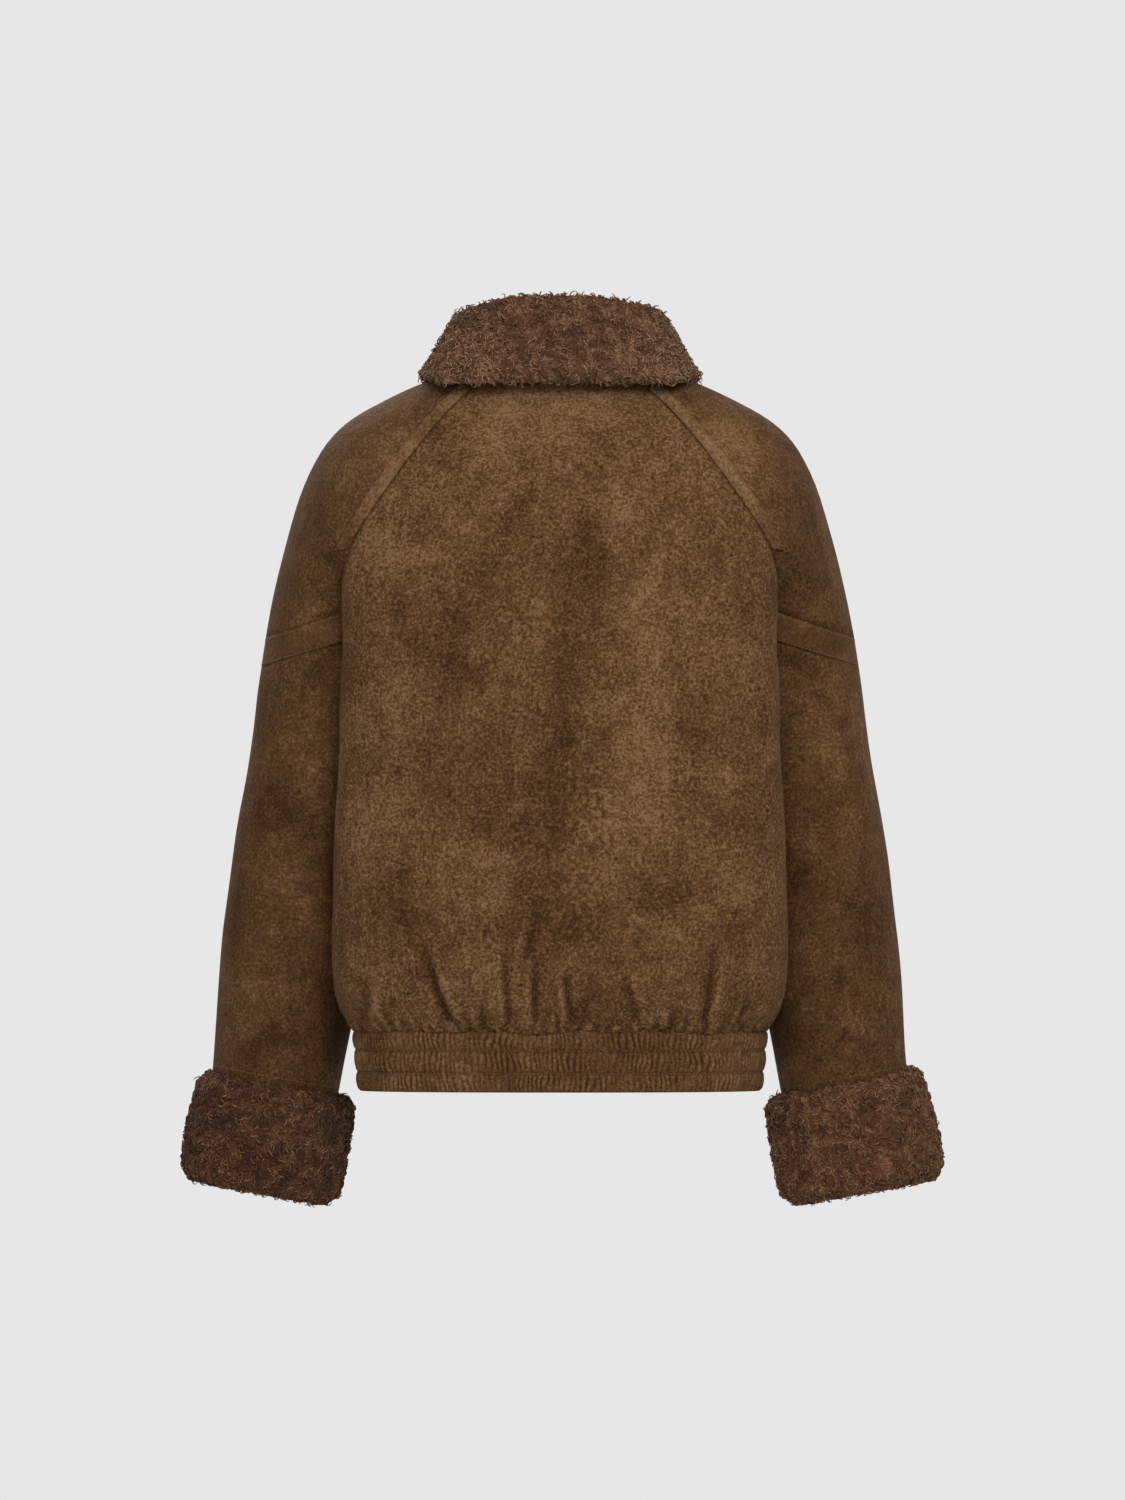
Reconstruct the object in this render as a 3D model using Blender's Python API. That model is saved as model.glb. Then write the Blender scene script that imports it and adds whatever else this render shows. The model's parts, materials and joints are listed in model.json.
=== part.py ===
"""A suede bomber jacket, filled out and hollow as if worn by nobody.

The back faces -Y, the front +Y and the wearer's right side +X. The origin is between the
shoulders, just under the back of the neck. Tables and sizes are in millimetres, and the meshes
are made in metres.

The outer skin is worked out first: rows run round the torso and the sleeves, the raglan seams are
shared by both, and each face belongs to one panel. Each panel is then cut from the skin as a wall
of its own, parted from its neighbours at the seams.
"""

import math
from collections import namedtuple

import bmesh
import bpy
import numpy as np
from mathutils import Matrix, Vector

COLLECTION = "suede_jacket"
MM = 0.001
SAME = 1e-6
SHARP_ANGLE = 40.0

# ---- Cloth -------------------------------------------------------------------------------------
WALL = 2.4
SEAM_GAP = 0.3
WELT_WIDTH = 12.0
WELT_WALL = 1.3

# The body keeps clear of the sleeve beside it: the gap opens over this many degrees from the seam,
# and over this height below the underarm.
SLEEVE_CLEARANCE = 6.0
CLEARANCE_TURN = 14.0
UNDERARM_EASE = 50.0

# Where a seam runs in a crease, its pull is taken in the face, not across the mean normal.
FLAT_ENOUGH = 0.6
LEAST_SPREAD = 0.5

# How finely curves are sampled before they are divided evenly.
RING_SAMPLES = 49
EGG_SAMPLES = 121
YOKE_SAMPLES = 61
NECK_SAMPLES = 65

# ---- Torso -------------------------------------------------------------------------------------
BACK_POWER = 2.5
FRONT_POWER = 2.15
HEM_TOP = -567.0
HEM_BOTTOM = -620.5

TorsoSection = namedtuple("TorsoSection", "z half_width wide_y back_y front_y side_y")
TORSO = (
    TorsoSection(-170.0, 191.5, -76.0, -135.0, 138.0, 40.0),
    TorsoSection(-236.0, 192.0, -67.0, -138.0, 148.0, 28.0),
    TorsoSection(-300.0, 194.0, -62.0, -139.0, 153.0, 20.0),
    TorsoSection(-370.0, 198.0, -57.0, -139.0, 155.0, 14.0),
    TorsoSection(-440.0, 200.5, -52.0, -139.0, 155.0, 8.0),
    TorsoSection(-500.0, 200.5, -46.0, -138.0, 153.0, 4.0),
    TorsoSection(-530.0, 198.0, -40.0, -136.0, 149.0, 1.0),
    TorsoSection(-550.0, 193.0, -32.0, -131.0, 142.0, 0.0),
    TorsoSection(HEM_TOP, 181.0, -20.0, -122.0, 131.0, 0.0),
)

# The back and front bow outwards above the underarm: the middle of each row lies on these lines.
CentreLine = namedtuple("CentreLine", "z y")
BACK_CENTRE = (
    CentreLine(5.0, -62.0),
    CentreLine(-16.0, -78.0),
    CentreLine(-59.0, -105.0),
    CentreLine(-105.0, -123.0),
    CentreLine(-170.0, -135.0),
)
FRONT_CENTRE = (
    CentreLine(-45.0, 72.0),
    CentreLine(-80.0, 97.0),
    CentreLine(-120.0, 119.0),
    CentreLine(-170.0, 138.0),
    CentreLine(-236.0, 148.0),
)

# ---- Raglan seams ------------------------------------------------------------------------------
# One row for each line across the sleeve head, from the neck to the underarm. It starts on the
# back seam, crosses the shoulder ridge and ends on the front seam. Turn is how far round the
# sleeve the seam lies from the ridge, in degrees, and bow how round the body panels are beside it.
RaglanRow = namedtuple(
    "RaglanRow", "back_x back_y back_z ridge_x ridge_y ridge_z front_x front_y front_z turn bow"
)
RAGLAN = (
    RaglanRow(73.0, -57.0, 0.0, 82.0, -2.0, 14.0, 62.0, 45.0, -20.0, 90.0, 0.75),
    RaglanRow(78.0, -60.5, -4.5, 90.0, -1.0, 11.0, 66.5, 50.0, -25.0, 89.0, 0.75),
    RaglanRow(93.0, -70.5, -18.0, 107.0, 1.0, 4.5, 78.0, 62.0, -38.0, 86.0, 0.76),
    RaglanRow(111.0, -81.0, -38.0, 132.0, 4.0, -5.0, 93.0, 76.0, -55.0, 82.0, 0.78),
    RaglanRow(128.0, -89.0, -59.0, 160.0, 8.0, -18.0, 109.0, 88.0, -75.0, 78.0, 0.80),
    RaglanRow(145.0, -93.0, -82.0, 187.0, 12.0, -33.0, 124.0, 97.0, -96.0, 75.0, 0.82),
    RaglanRow(161.0, -95.0, -105.0, 210.0, 16.0, -57.0, 139.0, 102.0, -117.0, 74.0, 0.85),
    RaglanRow(175.0, -92.0, -126.0, 228.0, 20.0, -98.0, 151.0, 104.0, -137.0, 76.0, 0.88),
    RaglanRow(186.0, -84.0, -145.0, 242.0, 23.0, -150.0, 160.0, 101.0, -156.0, 84.0, 0.93),
    RaglanRow(178.0, -60.0, -170.0, 251.0, 25.0, -190.0, 163.0, 95.0, -174.0, 112.0, 0.95),
    RaglanRow(165.0, -37.0, -191.0, 257.5, 26.0, -223.0, 160.0, 84.0, -193.0, 130.0, 0.97),
    RaglanRow(149.0, -11.0, -213.0, 261.5, 27.0, -248.0, 151.0, 65.0, -214.0, 150.0, 0.99),
    RaglanRow(140.0, 28.0, -236.0, 266.0, 28.0, -275.0, 140.0, 28.0, -236.0, 180.0, 1.0),
)
WELT_FIRST_ROW = 1
WELT_LAST_ROW = 8
BAND_FIRST_ROW = 10
BAND_LAST_ROW = 11
HALF_TURN = 180.0

# ---- Sleeves below the underarm ----------------------------------------------------------------
SleeveSection = namedtuple("SleeveSection", "z x half_width y half_depth slope")
SLEEVE = (
    SleeveSection(-255.5, 203.0, 63.0, 28.0, 76.0, -0.31),
    SleeveSection(-295.0, 208.0, 61.5, 29.0, 75.5, -0.24),
    SleeveSection(-345.0, 215.5, 61.5, 31.0, 75.0, -0.13),
    SleeveSection(-400.0, 223.5, 62.0, 33.0, 75.0, -0.02),
    SleeveSection(-460.0, 231.0, 62.5, 35.0, 74.0, 0.07),
    SleeveSection(-520.0, 238.0, 61.0, 37.0, 72.0, 0.13),
    SleeveSection(-575.0, 245.5, 57.5, 39.0, 68.0, 0.17),
    SleeveSection(-620.0, 250.5, 54.0, 41.0, 63.0, 0.185),
    SleeveSection(-694.0, 264.0, 53.0, 43.0, 60.0, 0.185),
)
CUFF_TOP = -618.0
SLEEVE_END = -694.0
SLEEVE_ROWS = (-282.0, -312.0, -350.0, -395.0, -440.0, -485.0, -530.0, -575.0)
SLEEVE_QUARTERS = 8

# ---- Gathers above the hem band ----------------------------------------------------------------
# Each is a soft trough that starts at its top and is deepest at the band.
Gather = namedtuple("Gather", "top_x top_z foot_x depth width")
BACK_GATHERS = (
    Gather(-163.0, -530.0, -158.0, 2.6, 6.0),
    Gather(-120.0, -488.0, -97.0, 4.6, 7.0),
    Gather(-72.0, -535.0, -69.0, 2.4, 5.0),
    Gather(-48.0, -485.0, -46.0, 4.2, 6.5),
    Gather(-25.0, -465.0, -20.0, 5.0, 8.0),
    Gather(3.0, -500.0, 11.0, 3.8, 6.0),
    Gather(24.0, -515.0, 27.0, 2.8, 9.0),
    Gather(57.0, -510.0, 67.0, 3.8, 7.0),
    Gather(98.0, -530.0, 96.0, 2.2, 6.0),
    Gather(135.0, -480.0, 127.0, 4.6, 6.5),
    Gather(163.0, -528.0, 158.0, 3.0, 5.5),
)
FRONT_GATHERS = (
    Gather(28.0, -520.0, 30.0, 2.6, 6.0),
    Gather(58.0, -495.0, 52.0, 3.8, 7.0),
    Gather(84.0, -515.0, 86.0, 3.0, 7.0),
    Gather(118.0, -490.0, 112.0, 3.8, 7.5),
)
GATHER_LIMIT = -428.0
GATHER_ONSET = 1.6
SEWN_ONSET = 4.0
SEWN_SHARE = 0.6
PUFF_HEIGHT = -543.0
PUFF_REACH = 22.0
PUFF = 1.6

# ---- Rows and columns --------------------------------------------------------------------------
LOWER_ROWS = (-268.0, -310.0, -360.0, -410.0, -455.0)
GATHER_ROWS = (-488.0, -512.0, -533.0, -551.0, HEM_TOP)
Columns = namedtuple("Columns", "back flank front")
COARSE = Columns(back=11, flank=5, front=11)
FINE = Columns(back=34, flank=6, front=26)

# ---- Hem band ----------------------------------------------------------------------------------
HEM_FOOT_IN = 4.5
HEM_WALL = 3.0
HEM_CHANNELS = (-584.0, -604.0)
TIER_PUFF = 2.2
RIB_HEIGHT = 1.3
RIB_SHARE_AT_CHANNEL = 0.45
RIB_UNEVENNESS = 0.25
BACK_RIBS = 90
FRONT_RIBS = 35
HEM_INSIDE_COLUMNS = 24
PLAN_STEP = 0.5

# The band's top seam wanders in slow waves, which fade at the zip and at the side seams.
SeamWave = namedtuple("SeamWave", "height turn start")
SEAM_WAVES = (
    SeamWave(2.2, 0.083, 0.4),
    SeamWave(1.32, 0.041, -1.0),
)
WAVE_LIMIT = 4.5
ZIP_FADE = 30.0
SIDE_FADE = 20.0
SIDE_LEVEL_X = 170.0

# ---- Zip ---------------------------------------------------------------------------------------
ZIP_HALF_WIDTH = 7.0
TAPE_WALL = 1.2
TAPE_SINK = 0.8

# ---- Collar ------------------------------------------------------------------------------------
# Round the neckline from the middle of the back, 0, over the back raglan seam, 1, and the front
# one, 2, to the front end, 3: the top of the roll and the outer edge of the fall.
CollarSection = namedtuple("CollarSection", "place roll_x roll_y roll_z fall_x fall_y fall_z")
COLLAR = (
    CollarSection(0.0, 0.0, -66.0, 84.0, 0.0, -87.0, 2.0),
    CollarSection(0.6, 43.0, -63.0, 82.0, 60.0, -85.0, 2.0),
    CollarSection(1.0, 72.0, -53.0, 74.0, 104.0, -78.0, 2.0),
    CollarSection(1.55, 90.0, 0.0, 58.0, 127.0, -6.0, 7.0),
    CollarSection(2.0, 76.0, 58.0, 24.0, 108.0, 80.0, -24.0),
    CollarSection(3.0, 12.0, 88.0, -8.0, 30.0, 117.0, -66.0),
)
COLLAR_END = 2.86
COLLAR_STEPS = (4, 9, 4)
COLLAR_LIFT = 1.2

# The section of the collar, a hairpin: up the inside of the stand, over the roll, down the fall
# and back up inside it. Each point lies a share of the way along the stand, from the neckline to
# the roll, or along the fall, from the roll to its edge, and is moved out and up from there.
CollarPoint = namedtuple("CollarPoint", "line share out up")
COLLAR_SECTION = (
    CollarPoint("stand", 0.0, -3.0, 0.0),
    CollarPoint("stand", 0.5, -4.0, 0.0),
    CollarPoint("stand", 1.0, -6.5, -8.0),
    CollarPoint("stand", 1.0, -2.0, -1.0),
    CollarPoint("fall", 0.0, 4.0, 0.0),
    CollarPoint("fall", 0.3, 5.0, 0.0),
    CollarPoint("fall", 0.65, 4.0, 0.0),
    CollarPoint("fall", 1.0, 1.5, 5.0),
    CollarPoint("fall", 1.0, -3.0, 0.0),
    CollarPoint("fall", 1.0, -9.0, 5.0),
    CollarPoint("fall", 0.65, -5.0, -3.0),
    CollarPoint("fall", 0.3, -4.0, -5.0),
    CollarPoint("fall", 0.0, 3.0, -9.0),
    CollarPoint("stand", 0.0, 2.0, 0.0),
)

# ---- Cuffs -------------------------------------------------------------------------------------
# The section of a cuff: how far outside the sleeve, and how far down from the cuff's top edge.
CuffPoint = namedtuple("CuffPoint", "out down")
CUFF_SECTION = (
    CuffPoint(0.6, 1.0),
    CuffPoint(7.0, -1.0),
    CuffPoint(14.5, 7.0),
    CuffPoint(17.0, 28.0),
    CuffPoint(17.0, 58.0),
    CuffPoint(14.5, 78.0),
    CuffPoint(6.0, 87.0),
    CuffPoint(-3.0, 86.0),
    CuffPoint(-6.0, 80.0),
    CuffPoint(-2.7, 77.6),
    CuffPoint(0.6, 77.6),
)

# ---- Slider and pull tab -----------------------------------------------------------------------
SLIDER_Z = -63.0
SLIDER_WIDTH = 8.0
SLIDER_LENGTH = 13.0
SLIDER_THICK = 2.8
SLIDER_CHAMFER = 0.9
BAIL_WIDTH = 1.8
BAIL_METAL = 1.2
BAIL_INSIDE = 3.8
BAIL_DOWN = 2.0
HINGE_RISE = 1.9
TAB_LENGTH = 30.0
TAB_TOP_WIDTH = 8.4
TAB_END_WIDTH = 6.4
TAB_THICK = 1.4
TAB_BAR = 1.8
TAB_EYE_WIDTH = 4.2
TAB_EYE_LENGTH = 5.6
TAB_LEAN = 7.0
ARC_STEPS = 8
PLATE_MERGE = 0.00002

Finish = namedtuple("Finish", "colour roughness metallic")
SUEDE = Finish((0.105, 0.055, 0.026, 1.0), 0.92, 0.0)
SHEARLING = Finish((0.16, 0.075, 0.035, 1.0), 0.97, 0.0)
TAPE = Finish((0.05, 0.028, 0.015, 1.0), 0.85, 0.0)
BRASS = Finish((0.42, 0.28, 0.12, 1.0), 0.35, 1.0)


# ---- Curves ------------------------------------------------------------------------------------
def smooth_table(rows, key, value):
    """The named columns of a table at one key value, on a curve with no overshoot."""
    rows = sorted(rows, key=lambda row: getattr(row, key))
    keys = np.array([getattr(row, key) for row in rows])
    table = np.array(rows, float)
    steps = np.diff(keys)[:, None]
    slopes = np.diff(table, axis=0) / steps
    tangents = np.zeros_like(table)
    tangents[0] = slopes[0]
    tangents[-1] = slopes[-1]
    same_way = slopes[:-1] * slopes[1:] > 0
    mean = 2 * slopes[:-1] * slopes[1:] / np.where(same_way, slopes[:-1] + slopes[1:], 1)
    tangents[1:-1] = np.where(same_way, mean, 0)
    value = min(max(value, keys[0]), keys[-1])
    i = min(int(np.searchsorted(keys, value, side="right")) - 1, len(keys) - 2)
    step = keys[i + 1] - keys[i]
    t = (value - keys[i]) / step
    point = (
        (2 * t**3 - 3 * t**2 + 1) * table[i]
        + (t**3 - 2 * t**2 + t) * step * tangents[i]
        + (3 * t**2 - 2 * t**3) * table[i + 1]
        + (t**3 - t**2) * step * tangents[i + 1]
    )
    return type(rows[0])(*point)


def evenly(points, count):
    """count + 1 points spaced evenly along a polyline, with its two ends kept."""
    points = np.asarray(points, float)
    steps = np.linalg.norm(np.diff(points, axis=0), axis=1)
    along = np.concatenate([[0.0], np.cumsum(steps)])
    wanted = np.linspace(0.0, along[-1], count + 1)
    result = np.stack([np.interp(wanted, along, points[:, axis]) for axis in range(3)], axis=1)
    result[0] = points[0]
    result[-1] = points[-1]
    return result


def after_distance(points, distance):
    """The polyline from a point this far along it, with that point first."""
    steps = np.linalg.norm(np.diff(points, axis=0), axis=1)
    along = np.concatenate([[0.0], np.cumsum(steps)])
    start = np.array([np.interp(distance, along, points[:, axis]) for axis in range(3)])
    return np.vstack([start, points[along > distance + SAME]])


def bowed(share, roundness):
    """A bow from 0 to 1 that starts level and ends steep: upright when roundness is 1."""
    drops = [1 - (1 - s**BACK_POWER) ** (1 / BACK_POWER) for s in (share * roundness, roundness)]
    return drops[0] / drops[1]


# ---- Sleeve rings ------------------------------------------------------------------------------
Ring = namedtuple("Ring", "x y half_width half_depth")


def raglan_ring(row, seam_x, seam_y):
    """The ellipse that runs from a raglan seam to the shoulder ridge."""
    turn = math.radians(row.turn)
    half_width = (row.ridge_x - seam_x) / (1 - math.cos(turn))
    if row.turn == HALF_TURN:
        half_depth = SLEEVE[0].half_depth
    else:
        half_depth = abs(seam_y - row.ridge_y) / math.sin(turn)
    return Ring(row.ridge_x - half_width, row.ridge_y, half_width, half_depth)


def raglan_quarter(row, seam, side):
    """Points across the sleeve head from a raglan seam to the ridge; side is -1 at the back."""
    ring = raglan_ring(row, seam[0], seam[1])
    points = []
    start = math.radians(row.turn)
    for turn in np.linspace(start, 0.0, RING_SAMPLES):
        reach = math.cos(turn)
        rise = (reach - math.cos(start)) / (1 - math.cos(start))
        z = seam[2] + (row.ridge_z - seam[2]) * rise
        x = ring.x + ring.half_width * reach
        points.append((x, ring.y + side * ring.half_depth * math.sin(turn), z))
    points[0] = seam
    points[-1] = (row.ridge_x, row.ridge_y, row.ridge_z)
    return np.array(points)


def sleeve_ring_points(section, side):
    """Points round half a sleeve, from its inner side to its outer; side is -1 at the back."""
    turns = np.linspace(math.pi, 0.0, RING_SAMPLES)
    reach = section.half_width * np.cos(turns)
    x = section.x + reach
    y = section.y + side * section.half_depth * np.sin(turns)
    return np.stack([x, y, section.z + section.slope * reach], axis=1)


def quarter_columns(points):
    """A sleeve quarter's columns: the seam, the edge of its welt, then evenly to the ridge."""
    rest = evenly(after_distance(points, WELT_WIDTH), SLEEVE_QUARTERS - 1)
    return np.vstack([points[0], rest])


def sleeve_rows():
    """Each row across the sleeve, from the back seam over the outside to the front seam."""
    rows = []
    for row in RAGLAN:
        back = raglan_quarter(row, (row.back_x, row.back_y, row.back_z), -1)
        front = raglan_quarter(row, (row.front_x, row.front_y, row.front_z), 1)
        rows.append((quarter_columns(back), quarter_columns(front)))
    rows = [np.vstack([back, front[::-1][1:]]) for back, front in rows]
    return rows + [sleeve_row(z) for z in SLEEVE_ROWS + (CUFF_TOP, SLEEVE_END)]


def sleeve_row(z):
    """A closed row round the sleeve below the underarm, from its inner side round the back."""
    section = smooth_table(SLEEVE, "z", z)
    back, front = [quarter_columns(sleeve_ring_points(section, side)) for side in (-1, 1)]
    return np.vstack([back, front[::-1][1:]])


def sleeve_beside(z):
    """The sleeve's ring where its inner side passes a torso row at this height."""
    inner = [
        section._replace(z=section.z - section.slope * section.half_width) for section in SLEEVE
    ]
    section = smooth_table(inner, "z", z)
    return Ring(section.x, section.y, section.half_width, section.half_depth)


# ---- Torso rows --------------------------------------------------------------------------------
def pushed_clear(points, ring, turn, least_gap):
    """Points moved out of a sleeve's ring, with a gap that shrinks towards the seam's turn."""
    moved = []
    for x, y, z in points:
        across = (x - ring.x) / ring.half_width
        along = (y - ring.y) / ring.half_depth
        angle = math.degrees(abs(math.atan2(along, across)))
        if angle > turn:
            break
        share = min(1.0, (turn - angle) / CLEARANCE_TURN)
        gap = least_gap + (SLEEVE_CLEARANCE - least_gap) * share
        across *= ring.half_width / (ring.half_width + gap)
        along *= ring.half_depth / (ring.half_depth + gap)
        reach = min(1.0, math.hypot(across, along))
        new_x = ring.x + across / reach * (ring.half_width + gap)
        new_y = ring.y + along / reach * (ring.half_depth + gap)
        moved.append((new_x, new_y, z))
    return moved


def egg(section, start, stop):
    """Points of the plain torso section: 0 is the middle of the back, 1 its edge, 2 the front."""
    points = []
    for turn in np.linspace(start, stop, int(EGG_SAMPLES * (stop - start)) + 1):
        if turn <= 1:
            power = 2 / BACK_POWER
            reach = section.back_y - section.wide_y
            angle = turn * math.pi / 2
        else:
            power = 2 / FRONT_POWER
            reach = section.front_y - section.wide_y
            angle = (2 - turn) * math.pi / 2
        x = section.half_width * abs(math.sin(angle)) ** power
        points.append((x, section.wide_y + reach * abs(math.cos(angle)) ** power, section.z))
    return points


def yoke_row(centre, seam, bow, count):
    """A row from the middle of a body panel to its raglan seam."""
    points = []
    for share in np.linspace(0.0, 1.0, YOKE_SAMPLES):
        y = centre[1] + (seam[1] - centre[1]) * bowed(share, bow)
        z = centre[2] + (seam[2] - centre[2]) * share**2
        points.append((seam[0] * share, y, z))
    points[-1] = seam
    return evenly(points, count)


def keyed(points, first, last):
    """Points with the places between two whole numbers that rows are matched by."""
    return list(zip(np.linspace(first, last, len(points)), map(tuple, points)))


def back_upper_rows():
    """The back's rows from the neck to just above the underarm, from the middle to the seam."""
    rows = []
    for index, row in enumerate(RAGLAN[:-1]):
        seam = (row.back_x, row.back_y, row.back_z)
        z = BACK_CENTRE[0].z if index == 0 else row.back_z
        if index <= WELT_LAST_ROW:
            centre = (0.0, smooth_table(BACK_CENTRE, "z", z).y, z)
            rows.append(keyed(yoke_row(centre, seam, row.bow, COARSE.back), 0, 1))
            continue
        section = smooth_table(TORSO, "z", z)
        ring = raglan_ring(row, row.back_x, row.back_y)
        flank = pushed_clear(egg(section, 1.0, 2.0), ring, row.turn, 0.0) + [seam]
        back = egg(section, 0.0, 1.0)[:-1] + [flank[0]]
        rows.append(keyed(evenly(back, COARSE.back), 0, 1))
        rows[-1] += keyed(evenly(flank, COARSE.flank), 1, 2)[1:]
    return rows


def front_upper_rows():
    """The front's rows from the neck to just above the underarm, from the middle to the seam."""
    rows = []
    first = RAGLAN[0].front_z
    last = RAGLAN[-1].front_z
    for row in RAGLAN[:-1]:
        share = (row.front_z - first) / (last - first)
        z = FRONT_CENTRE[0].z + (FRONT_CENTRE[-1].z - FRONT_CENTRE[0].z) * share
        centre = (0.0, smooth_table(FRONT_CENTRE, "z", z).y, z)
        seam = (row.front_x, row.front_y, row.front_z)
        fine = yoke_row(centre, seam, row.bow, YOKE_SAMPLES - 1)
        rows.append(front_columns(fine, COARSE.front))
    return rows


def front_columns(points, count):
    """A front row's columns: the middle, the edge beside the zip, then evenly to the end."""
    after = int(np.argmax(points[:, 0] > ZIP_HALF_WIDTH))
    before, behind = points[after - 1], points[after]
    start = before + (behind - before) * (ZIP_HALF_WIDTH - before[0]) / (behind[0] - before[0])
    rest = evenly(np.vstack([start, points[after:]]), count)
    return [(0.0, tuple(points[0]))] + keyed(rest, 1, 2)


def lower_row(z, columns):
    """The back and the front half row below the underarm, which meet at the side seam."""
    section = smooth_table(TORSO, "z", z)
    underarm = RAGLAN[-1]
    below = underarm.back_z - z
    least_gap = SLEEVE_CLEARANCE * min(1.0, below / UNDERARM_EASE)
    back = egg(section, 0.0, 1.0)
    front = egg(section, 1.0, 2.0)
    flank = np.array(pushed_clear(front, sleeve_beside(z), HALF_TURN + SAME, least_gap))
    nearest = np.argmin(np.abs(flank[:, 1] - section.side_y))
    side = flank[nearest]
    if below == 0:
        side = np.array([underarm.back_x, underarm.back_y, underarm.back_z])
    rear = evenly(np.vstack([flank[:nearest], side]), columns.flank)
    fore = np.vstack([side, flank[nearest + 1:]])[::-1]
    back_half = keyed(evenly(back[:-1] + [tuple(flank[0])], columns.back), 0, 1)
    back_half += keyed(rear, 1, 2)[1:]
    return back_half, front_columns(fore, columns.front)


# ---- Gathers -----------------------------------------------------------------------------------
def ramp(value):
    """A smooth step from 0 to 1."""
    value = min(max(value, 0.0), 1.0)
    return value * value * (3 - 2 * value)


def gathered(point, normal, gathers):
    """A skin point moved in where a gather runs, and out a little where the cloth puffs."""
    x, y, z = point
    drop = 0.0
    for fold in gathers:
        share = (fold.top_z - z) / (fold.top_z - HEM_TOP)
        if share <= 0:
            continue
        middle = fold.top_x + (fold.foot_x - fold.top_x) * share
        sewn = SEWN_SHARE * ramp(1 - SEWN_ONSET * (1 - share))
        depth = fold.depth * ramp(share * GATHER_ONSET) * (1 - sewn)
        drop += depth * math.exp(-(((x - middle) / fold.width) ** 2))
    puff = PUFF * math.exp(-(((z - PUFF_HEIGHT) / PUFF_REACH) ** 2))
    outwards = np.array([normal[0], normal[1], 0.0])
    return np.array(point) + outwards * (puff - drop)


def seam_wave(x, y):
    """How far the band's top seam wanders up and down round the hem."""
    rise = sum(wave.height * math.sin(wave.turn * x + wave.start) for wave in SEAM_WAVES)
    if y > 0:
        rise *= ramp((abs(x) - ZIP_HALF_WIDTH) / ZIP_FADE)
    return rise * ramp((SIDE_LEVEL_X - abs(x)) / SIDE_FADE)


# ---- The skin ----------------------------------------------------------------------------------
class Skin:
    """The outer skin: points shared by neighbours, and faces that each belong to one panel."""

    def __init__(self):
        self.bm = bmesh.new()
        self.points = {}
        self.faces = {}

    def vert(self, point):
        """The skin's vertex at this point, made once."""
        key = tuple(round(value, 3) + 0.0 for value in point)
        if key not in self.points:
            self.points[key] = self.bm.verts.new(point)
        return self.points[key]

    def strip(self, panel, upper, lower, mirror):
        """The faces of one panel between two keyed rows."""
        sign = -1 if mirror else 1
        rows = [
            [(key, self.vert((sign * x, y, z))) for key, (x, y, z) in row] for row in (upper, lower)
        ]
        for corners in bridged(*rows):
            if mirror:
                corners = corners[::-1]
            face = self.bm.faces.new(corners)
            self.faces.setdefault(panel, []).append(face)


def bridged(upper, lower):
    """Triangles between two keyed rows, split across the shorter diagonal where keys match."""
    i = j = 0
    faces = []
    while i < len(upper) - 1 or j < len(lower) - 1:
        next_upper = upper[i + 1][0] if i < len(upper) - 1 else math.inf
        next_lower = lower[j + 1][0] if j < len(lower) - 1 else math.inf
        a, b = upper[i][1], lower[j][1]
        if abs(next_upper - next_lower) < SAME:
            c, d = lower[j + 1][1], upper[i + 1][1]
            if (a.co - c.co).length < (b.co - d.co).length:
                faces += [(a, b, c), (a, c, d)]
            else:
                faces += [(a, b, d), (b, c, d)]
            i += 1
            j += 1
        elif next_upper < next_lower:
            faces.append((a, b, upper[i + 1][1]))
            i += 1
        else:
            faces.append((a, b, lower[j + 1][1]))
            j += 1
    return [corners for corners in faces if len(set(corners)) == 3]


def hem_tape_rows():
    """The zip tape's rows through the hem band."""
    section = smooth_table(TORSO, "z", HEM_TOP)
    edge = front_columns(np.array(egg(section, 1.0, 2.0)[::-1]), 2)[1][1]
    rows = []
    for z in (HEM_CHANNELS[0], HEM_BOTTOM):
        lean = HEM_FOOT_IN * (HEM_TOP - z) / (HEM_TOP - HEM_BOTTOM)
        rows.append([(0.0, (0.0, section.front_y - lean, z)), (1.0, (edge[0], edge[1] - lean, z))])
    return rows


def torso_skin(skin):
    """The back, the fronts and the zip tapes, down to the band's top seam."""
    backs = back_upper_rows()
    fronts = front_upper_rows()
    rows = [(RAGLAN[-1].back_z, COARSE)]
    rows += [(z, COARSE) for z in LOWER_ROWS]
    rows += [(z, FINE) for z in GATHER_ROWS]
    for z, columns in rows:
        back, front = lower_row(z, columns)
        backs.append(back)
        fronts.append(front)
    for mirror, side in ((False, "right"), (True, "left")):
        for upper, lower in zip(backs, backs[1:]):
            skin.strip("back", upper, lower, mirror)
        for upper, lower in zip(fronts, fronts[1:]):
            skin.strip(f"front_{side}", turned(upper[1:]), turned(lower[1:]), mirror)
        tapes = [row[:2] for row in fronts] + hem_tape_rows()
        for upper, lower in zip(tapes, tapes[1:]):
            skin.strip(f"zip_tape_{side}", turned(upper), turned(lower), mirror)


def turned(row):
    """A keyed row run the other way."""
    return [(-key, point) for key, point in reversed(row)]


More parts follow.
